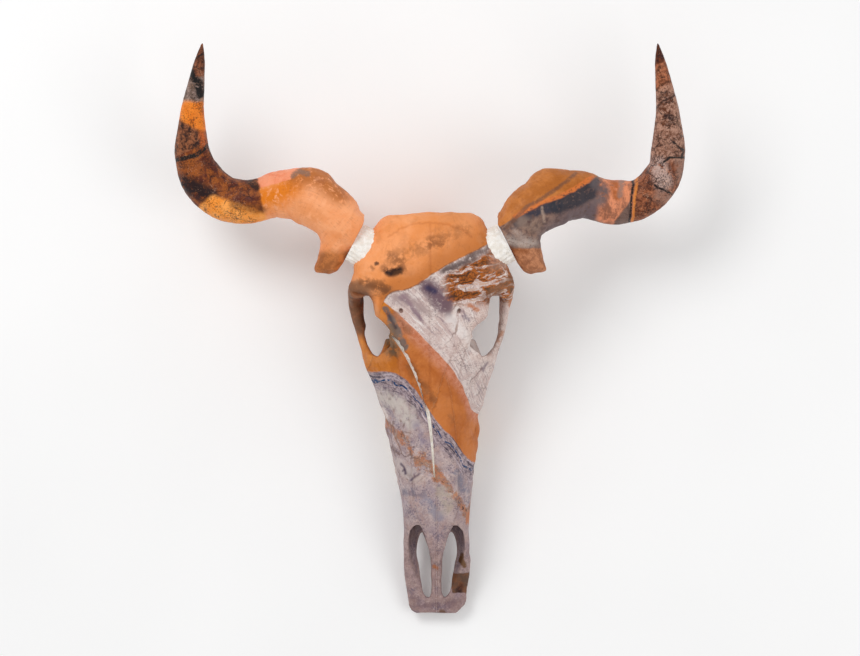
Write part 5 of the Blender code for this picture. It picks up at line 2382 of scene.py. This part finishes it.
        lines = graph.group("Crackle", Vector=where, Size=17, Width=0.09, Broken=0.44)
        colour = graph.mix(graph.times(lines, leftward, 0.6), colour, paint(104, 74, 62))
        specks = graph.group("Speckle", Vector=place, Size=2.3, Amount=0.56)
        colour = graph.mix(graph.times(specks, 0.6), colour, paint(90, 84, 106))
        fine = graph.group("Speckle", Vector=graph.vectors("ADD", place, (0, 90, 0)), Size=1.3, Amount=0.5)
        colour = graph.mix(graph.times(fine, 0.4), colour, paint(206, 186, 178))
        return stained(graph, colour, where, where, (self.tip_patch,))

    def material(self) -> Material:
        """Makes the material.

        Returns:
            The material.
        """
        graph, shader, place = self.start()
        hollow = graph.node("Attribute", attribute_name="hollow").outputs["Fac"]
        seam = graph.node("Attribute", attribute_name="seam").outputs["Fac"]
        colour = self.blend_colour(graph, place)
        # painted shade in the hollows, dark sutures and paler worn edges go on here; their mask also roughens
        # the bone
        colour = graph.group("Grime", Vector=place, Color=colour, Hollow=hollow, Seam=seam)
        graph.feed(shader.inputs["Base Color"], colour)
        rough = graph.ease(graph.cloud(place, 9, 4), 0.3, 0.7, 0.5, 0.74)
        shade_and_seams = colour.node.outputs["Mask"]
        graph.feed(shader.inputs["Roughness"], graph.maths("MULTIPLY_ADD", shade_and_seams, 0.15, rough))
        shader.inputs["Specular IOR Level"].default_value = 0.25
        self.relief(graph, shader, place, (0.8, 0.55, 0.5), 0.42)
        return bpy.data.materials[self.name]


@dataclass(frozen=True)
class BaredBone(Finish):
    """Pale bone, as in a fresh break and on the horn cores."""

    name: str = "bared_bone"

    def material(self) -> Material:
        """Makes the material.

        Returns:
            The material.
        """
        graph, shader, place = self.start()
        light, dark = paint(250, 247, 242), paint(236, 229, 219)
        colour = graph.group("Mottle", Vector=place, Size=6, Light=light, Dark=dark, Grain=0.5)
        pits = graph.group("Speckle", Vector=place, Size=1.5, Amount=0.42)
        colour = graph.mix(graph.times(pits, 0.35), colour, paint(196, 178, 158))
        graph.feed(shader.inputs["Base Color"], colour)
        graph.feed(shader.inputs["Roughness"], graph.ease(graph.cloud(place, 5), 0.3, 0.7, 0.68, 0.86))
        shader.inputs["Specular IOR Level"].default_value = 0.3
        self.relief(graph, shader, place, (1.3, 0.8, 0.4), 0.5)
        return bpy.data.materials[self.name]


@dataclass(frozen=True)
class StainedHorn(Finish):
    """Ridged horn with the stains of one side.

    Attributes:
        light, dark: the two colours of its base.
        stains: what lies over it, from the base to the tip.
        crack: how far cracks and grit show, from 0 to 1.
        cracks_from: a line to whose left they show.
    """

    light: Tint = (188, 149, 89)
    dark: Tint = (149, 124, 89)
    stains: tuple[Stain, ...] = ()
    crack: float = 0.5
    cracks_from: tuple[Point, Point] = ((0, 0), (1, 0))

    def material(self) -> Material:
        """Makes the material.

        Returns:
            The material.
        """
        graph, shader, place = self.start()
        edge = graph.group("Drift", Vector=place, Size=9, Reach=1.7)
        soft = graph.group("Drift", Vector=place, Size=16, Reach=4, Seed=40)
        light, dark = paint(*self.light), paint(*self.dark)
        colour = graph.group("Mottle", Vector=soft, Size=30, Light=light, Dark=dark, Grain=0.15)
        colour = stained(graph, colour, edge, soft, self.stains)
        start, end = self.cracks_from
        beyond = graph.group("Beyond Line", Vector=edge, Start=(*start, 0), End=(*end, 0), Softness=5)
        beyond = graph.times(beyond, self.crack)
        cracks = graph.group("Crackle", Vector=place, Size=17, Width=0.045, Broken=0.5)
        cracks = graph.times(cracks, beyond)
        colour = graph.mix(graph.times(cracks, 0.85), colour, paint(46, 30, 22))
        grit = graph.group("Speckle", Vector=place, Size=1.9, Amount=0.62)
        colour = graph.mix(graph.times(grit, 0.8, beyond), colour, paint(48, 32, 26))
        pale = graph.group("Speckle", Vector=graph.vectors("ADD", place, (70, 0, 0)), Size=1.5, Amount=0.4)
        pale = graph.times(pale, 0.5, beyond)
        colour = graph.mix(pale, colour, paint(222, 170, 138))
        straight = graph.vectors(
            "SCALE", graph.node("Attribute", attribute_name="straight").outputs["Vector"], 1 / MM
        )
        fibres = graph.cloud(graph.vectors("MULTIPLY", straight, (0.05, 1, 1)), 1.5, 4, 0.6)
        bands = graph.cloud(graph.vectors("MULTIPLY", straight, (1, 0.12, 0.12)), 3.4, 3, 0.6)
        streak = graph.times(graph.plus(fibres, bands), 0.5)
        shade = graph.mix(1, colour, paint(176, 146, 124), "MULTIPLY")
        colour = graph.mix(graph.ease(streak, 0.5, 0.34, 0, 0.3), colour, shade)
        graph.feed(shader.inputs["Base Color"], colour)
        graph.feed(shader.inputs["Roughness"], graph.ease(graph.cloud(place, 8, 4), 0.3, 0.7, 0.46, 0.66))
        shader.inputs["Specular IOR Level"].default_value = 0.3
        height = graph.maths("MULTIPLY_ADD", bands, 0.7, graph.times(fibres, 0.8))
        height = graph.minus(height, graph.times(cracks, 1.6))
        self.relief(graph, shader, place, (0.3, 0.3, 0.3), 0.4, height)
        return bpy.data.materials[self.name]


LEFT_PULLS = (
    Pull((-160, 117), (-134, 117), (0, 1.8), 8), Pull((-131, 66), (-131, 66), (-7, -4.2), 8),
    Pull((-261, 310), (-284, 190), (1.7, 0), 26), Pull((-102, 168), (-78, 140), (-3.2, -2.6), 11),
    Pull((-73, 133), (-73, 133), (-4.4, 0.4), 9),
)

RIGHT_PULLS = (
    Pull((132, 66), (132, 66), (9, -3.6), 8), Pull((261, 308), (284, 200), (-1.8, 0), 26),
    Pull((72, 130), (76, 136), (6.4, -2.2), 10), Pull((82, 150), (104, 170), (3.4, -3.2), 11),
    Pull((128, 96), (127, 84), (1.6, 0), 6), Pull((248, 192), (232, 174), (3.8, -4.8), 10),
    Pull((108, 172), (160, 182), (0, -1.4), 8), Pull((160, 124), (215, 122), (0, -1.2), 8),
    Pull((84, 112), (110, 72), (2.4, 0), 6),
)

LEFT_HORN = StainedHorn(
    name="stained_horn_left",
    light=(250, 172, 122),
    dark=(240, 152, 96),
    stains=(
        Stroke(((-196, 150), (-180, 152), (-160, 164)), 14, (226, 126, 34), 12, 1),
        Stroke(((-150, 178), (-128, 176), (-104, 158)), 15, (182, 106, 52), 10, 0.9),
        Stroke(((-130, 172), (-124, 168)), 3.5, (158, 94, 66), 3, 0.5),
        Stroke(((-150, 140), (-130, 128)), 10, (226, 142, 86), 9, 0.6),
        Patch(
            ((-201, 160), (-160, 170.5), (-146, 188), (-201, 188)), (248, 160, 122), (238, 138, 98), 14, 1,
        ),
        Stroke(((-157, 175), (-150, 180), (-141, 177)), 3.4, (142, 108, 90), 1.6),
        Patch(((-60, 88.5), (-160, 87.5)), (206, 128, 74), (164, 100, 58), 16, 5),
        Patch(
            ((-190, 126), (-198, 172), (-254, 216), (-310, 190), (-310, 90), (-200, 90)), (158, 88, 42),
            (90, 44, 22), 9, 1.6,
        ),
        Stroke(((-294, 182), (-268, 184)), 8, (158, 88, 44), 6, 0.7),
        Stroke(((-284, 166), (-268, 160), (-252, 150)), 10, (50, 24, 14), 5, 1),
        Stroke(((-206, 168), (-199, 162)), 4, (44, 30, 24), 2),
        # the lower rim of the left bend keeps the horn's orange, painted a little lighter as painted light
        # against the shade on its side turned from the lamps
        Patch(
            ((-262, 90), (-186, 90), (-189, 132), (-250, 153), (-267, 139)), (254, 170, 88), (244, 148, 58),
            12, 3,
        ),
        Stroke(((-226, 142), (-202, 136), (-192, 136)), 4.6, (104, 64, 38), 3.4, 0.6),
        Patch(((-310, 190), (-254, 214), (-250, 240), (-310, 240)), (158, 98, 66), (60, 40, 32), 6.5, 1.2),
        Patch(
            ((-288, 240), (-264, 226), (-246, 228), (-246, 262), (-292, 260)), (244, 140, 52),
            (224, 118, 38), 15, 3, 0.55,
        ),
        Stroke(((-262, 224), (-259, 208)), 3.6, (212, 108, 52), 2.6, 0.8),
        Stroke(((-293, 193), (-268, 198.5), (-255, 210)), 2.6, (30, 22, 18), 1.2, 1),
        Stroke(((-252, 208), (-240, 186)), 4, (52, 34, 26), 3, 0.8),
        Patch(((-300, 262), (-240, 258), (-240, 290), (-300, 290)), (164, 140, 130), (104, 84, 74), 5, 3),
        Patch(((-300, 284), (-240, 290)), (146, 88, 62), (84, 50, 38), 6, 3),
        Stroke(((-275, 292), (-266, 282), (-262, 268)), 5.4, (38, 30, 22), 1.6, 1),
        Stroke(((-268, 310), (-257, 316)), 1.4, (40, 26, 20), 1),
        Stroke(((-262, 262), (-258, 262)), 2, (168, 132, 112), 1.4),
    ),
    crack=0.7,
    cracks_from=((-200, 0), (-200, 400)),
)

RIGHT_HORN = StainedHorn(
    name="stained_horn_right",
    light=(202, 126, 66),
    dark=(176, 104, 48),
    stains=(
        Patch(((60, 60), (200, 60), (200, 171.5), (60, 108)), (152, 120, 104), (100, 78, 74), 7, 0.9),
        Patch(((146, 60), (200, 60), (200, 179), (146, 147)), (152, 120, 104), (100, 78, 74), 7, 0.9),
        Stroke(((148, 104), (170, 122), (196, 134)), 20, (108, 92, 96), 14, 0.9),
        Stroke(((100, 122), (124, 135), (146, 141)), 6.4, (52, 54, 68), 2.6),
        Stroke(((146, 141), (170, 150), (190, 162)), 10, (54, 54, 62), 3),
        Stroke(((128, 138), (131, 122)), 1.6, (176, 150, 134), 1.4, 0.7),
        Stroke(((104, 122), (120, 118)), 7, (150, 126, 112), 5, 0.7),
        Stroke(((90, 101), (102, 97), (118, 98)), 4.4, (196, 180, 170), 5, 0.75),
        Stroke(((97, 111), (108, 103)), 3.4, (186, 166, 156), 4, 0.65),
        Patch(((160, 92.5), (60, 90.5)), (200, 136, 98), (160, 104, 74), 6, 1.2),
        Stroke(((84, 92), (110, 88)), 3, (150, 86, 46), 2.4, 0.6),
        Stroke(((98, 128), (124, 143), (146, 150), (166, 160), (186, 173)), 2.6, (220, 122, 62), 1.2),
        Stroke(((88, 116), (111, 139), (130, 150), (148, 162), (167, 177)), 2.2, (116, 82, 66), 1.4, 0.75),
        Patch(
            ((186, 60), (232, 60), (238, 200), (198, 200)), (232, 148, 108), (150, 98, 76), 9, 5, 0.5, True,
        ),
        Stroke(((190, 166), (200, 158), (196, 146)), 6, (104, 94, 96), 4, 0.85),
        Stroke(((212, 166), (215, 152)), 5, (176, 100, 56), 3),
        Patch(((209, 118), (230, 110), (231, 148)), (128, 102, 92), (98, 76, 70), 7, 1.2),
        Stroke(((221, 172), (218, 152)), 3, (150, 122, 112), 2, 0.8),
        Patch(((240, 200), (229, 60)), (164, 98, 66), (92, 50, 32), 6, 1),
        Stroke(((234, 174), (229, 120)), 1.5, (46, 30, 24), 0.8, 1),
        Stroke(((238, 174), (232, 118)), 1.4, (216, 130, 60), 0.9, 0.9),
        Patch(((238, 196), (310, 188)), (188, 144, 124), (104, 62, 44), 5, 5),
        Stroke(((262, 186), (268, 168)), 10, (200, 172, 162), 6, 0.85),
        Stroke(((287, 190), (288, 170)), 5, (170, 134, 118), 4, 0.7),
        Stroke(((264, 152), (282, 146)), 7, (166, 128, 112), 6, 0.7),
        Stroke(((262, 216), (276, 208)), 7, (158, 116, 98), 6, 0.6),
        Stroke(((258, 164), (270, 158), (281, 153)), 1.3, (40, 28, 24), 0.9, 1),
        Stroke(((267, 190), (275, 196), (294, 196)), 1.2, (34, 24, 20), 0.8, 1),
        Stroke(((278, 214), (291, 204), (289, 197)), 1.2, (40, 28, 24), 0.8, 1),
        Stroke(((270, 243), (276, 242)), 3, (52, 34, 26), 1.6),
        Patch(((250, 270), (290, 280)), (190, 118, 84), (112, 66, 46), 5, 5),
        Stroke(((260, 268), (270, 276), (278, 280)), 3, (186, 140, 118), 1.8, 0.7),
        Stroke(((259, 253), (270, 262), (282, 268)), 1.5, (70, 44, 34), 1, 0.9),
        Stroke(((259, 273), (268, 281), (277, 284)), 1.3, (84, 50, 36), 0.9, 0.8),
        Patch(((250, 297), (280, 312)), (112, 60, 34), (62, 32, 20), 5, 1.5),
    ),
    crack=0.9,
    cracks_from=((236, 400), (236, 0)),
)


@dataclass(frozen=True)
class WornEnamel(Finish):
    """Ivory enamel with brown stain in its folds and towards the gum."""

    name: str = "worn_enamel"

    def material(self) -> Material:
        """Makes the material.

        Returns:
            The material.
        """
        graph, shader, place = self.start()
        colour = graph.group(
            "Mottle", Vector=place, Size=5, Light=paint(232, 220, 196), Dark=paint(202, 178, 140), Grain=0.4
        )
        rise = graph.node("SeparateXYZ", {0: place}).outputs[2]
        stain = graph.times(graph.ease(rise, 2, 14), graph.ease(graph.cloud(place, 3.4, 4), 0.4, 0.62))
        colour = graph.mix(graph.times(stain, 0.8), colour, paint(120, 84, 56))
        worn = graph.ease(rise, 0.35, 0.05)
        dentine = graph.ease(graph.cloud(place, 2.6, 3, 0.6, 1), 0.48, 0.56)
        colour = graph.mix(graph.times(worn, dentine), colour, paint(128, 92, 62))
        graph.feed(shader.inputs["Base Color"], colour)
        graph.feed(shader.inputs["Roughness"], graph.ease(graph.cloud(place, 4), 0.3, 0.7, 0.25, 0.45))
        self.relief(graph, shader, place, (0.1, 0.35, 0.8), 0.25)
        return bpy.data.materials[self.name]


@dataclass(frozen=True)
class PaleTable(Finish):
    """The plain pale floor."""

    name: str = "pale_table"

    def material(self) -> Material:
        """Makes the material.

        Returns:
            The material.
        """
        graph, shader, place = self.start()
        tint = graph.ease(graph.cloud(place, 400, 2), 0.3, 0.7)
        graph.feed(shader.inputs["Base Color"], graph.mix(tint, paint(250, 250, 250), paint(253, 253, 253)))
        shader.inputs["Roughness"].default_value = 0.9
        shader.inputs["Specular IOR Level"].default_value = 0.1
        return bpy.data.materials[self.name]


@dataclass
class Studio:
    """The floor, the soft lights and the camera.

    Attributes:
        floor_size: side of the floor.
        floor_drop: how far the floor is under the teeth.
        lens: focal length, long enough to see the skull nearly without perspective.
        sensor: width of the sensor.
        view_width: width of the view at the height of the brow.
        view_height: that height.
        view_middle: where the camera stands over the table.
        lamps: place, size and power of each soft lamp.
    """

    floor_size: float = 16000.0
    floor_drop: float = 0.2
    lens: float = 500.0
    sensor: float = 36.0
    view_width: float = 989.0
    view_height: float = 110.0
    view_middle: Point = (-0.07, 0.3)
    lamps: tuple[tuple[Place, float, float], ...] = (
        ((-1300, 1500, 2600), 1500, 34), ((1700, -600, 2400), 1800, 14),
    )

    def floor(self) -> Object:
        """Makes the floor.

        Returns:
            The floor.
        """
        mesh = bmesh.new()
        bmesh.ops.create_grid(mesh, x_segments=1, y_segments=1, size=self.floor_size / 2.0 * MM)
        bmesh.ops.translate(mesh, vec=Vector((0.0, 0.0, -self.floor_drop)) * MM, verts=mesh.verts)
        floor = made_object("floor", mesh)
        floor.data.materials.clear()
        floor.data.materials.append(PaleTable().material())
        return floor

    def lights(self) -> None:
        """Sets the sky and the soft lamps."""
        world = bpy.data.worlds.new("soft_sky")
        world.use_nodes = True
        sky = world.node_tree.nodes["Background"]
        sky.inputs["Color"].default_value = (1.0, 1.0, 1.0, 1.0)
        sky.inputs["Strength"].default_value = 0.62
        bpy.context.scene.world = world
        for i, (place, size, power) in enumerate(self.lamps):
            lamp = bpy.data.lights.new(f"soft_lamp_{i}", "AREA")
            lamp.shape, lamp.size, lamp.energy = "DISK", size * MM, power
            made = bpy.data.objects.new(lamp.name, lamp)
            made.location = Vector(place) * MM
            made.rotation_euler = (-Vector(place)).to_track_quat("-Z", "Y").to_euler()
            made.visible_camera = False
            bpy.context.scene.collection.objects.link(made)

    def camera(self) -> None:
        """Sets the camera straight above the face."""
        data = bpy.data.cameras.new("from_above")
        data.lens, data.sensor_width = self.lens, self.sensor
        distance = self.view_width * self.lens / self.sensor
        data.clip_end = 3.0 * distance * MM
        made = bpy.data.objects.new("from_above", data)
        made.location = Vector((*self.view_middle, self.view_height + distance)) * MM
        bpy.context.scene.collection.objects.link(made)
        bpy.context.scene.camera = made

    def build(self) -> Object:
        """Makes the floor, lights and camera, and returns the floor.

        Returns:
            The floor.
        """
        self.lights()
        self.camera()
        bpy.context.scene.view_settings.view_transform = "Standard"
        return self.floor()


def dress(
    piece: Object, materials: Sequence[Material], nodes: Sequence[str] = (), crease: float = 40.0
) -> None:
    """Places a finished piece in the frame.

    Args:
        piece: the piece, in the skull's own place.
        materials: its materials, by slot.
        nodes: the CAD nodes that it stands for.
        crease: the angle from which an edge shows as a sharp one, in degrees.
    """
    set_points(piece, points_of(piece) + np.array(tuple(SHIFT)))
    for number, material in enumerate(materials):
        piece.data.materials[number] = material
    while len(piece.data.materials) > len(materials):
        piece.data.materials.pop()
    piece.data.shade_smooth()
    piece.data.set_sharp_from_angle(angle=math.radians(crease))
    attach(piece, "root")
    if nodes:
        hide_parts(*nodes)
    log.info("%s: %d faces", piece.name, len(piece.data.polygons))


def main() -> None:
    """Builds the skull piece by piece, then the studio."""
    logging.basicConfig(level=logging.INFO, format="%(message)s", stream=sys.stdout)
    noise.seed_set(SEED)
    make_effects()
    weathered = StainedBone()
    bone = [weathered.material(), BaredBone().material()]
    enamel = WornEnamel().material()
    for node, piece in Bones().build().items():
        piece.name = f"{node}_bone"
        dress(piece, bone, [node])
        weathered.lay_blots(piece)
    for side, finish, pulls in ((Side.LEFT, LEFT_HORN, LEFT_PULLS), (Side.RIGHT, RIGHT_HORN, RIGHT_PULLS)):
        dress(CheekTeeth(side).build(), [enamel], crease=30.0)
        horn = Horn(side, pulls=pulls).build()
        horn.name = f"horn_{side.word}_sheath"
        dress(horn, [finish.material()], [f"horn_{side.word}"])
    Studio().build()
    for word in ("weathered", "bared"):
        bpy.data.materials.remove(bpy.data.materials[word])


if __name__ == "__main__":
    main()
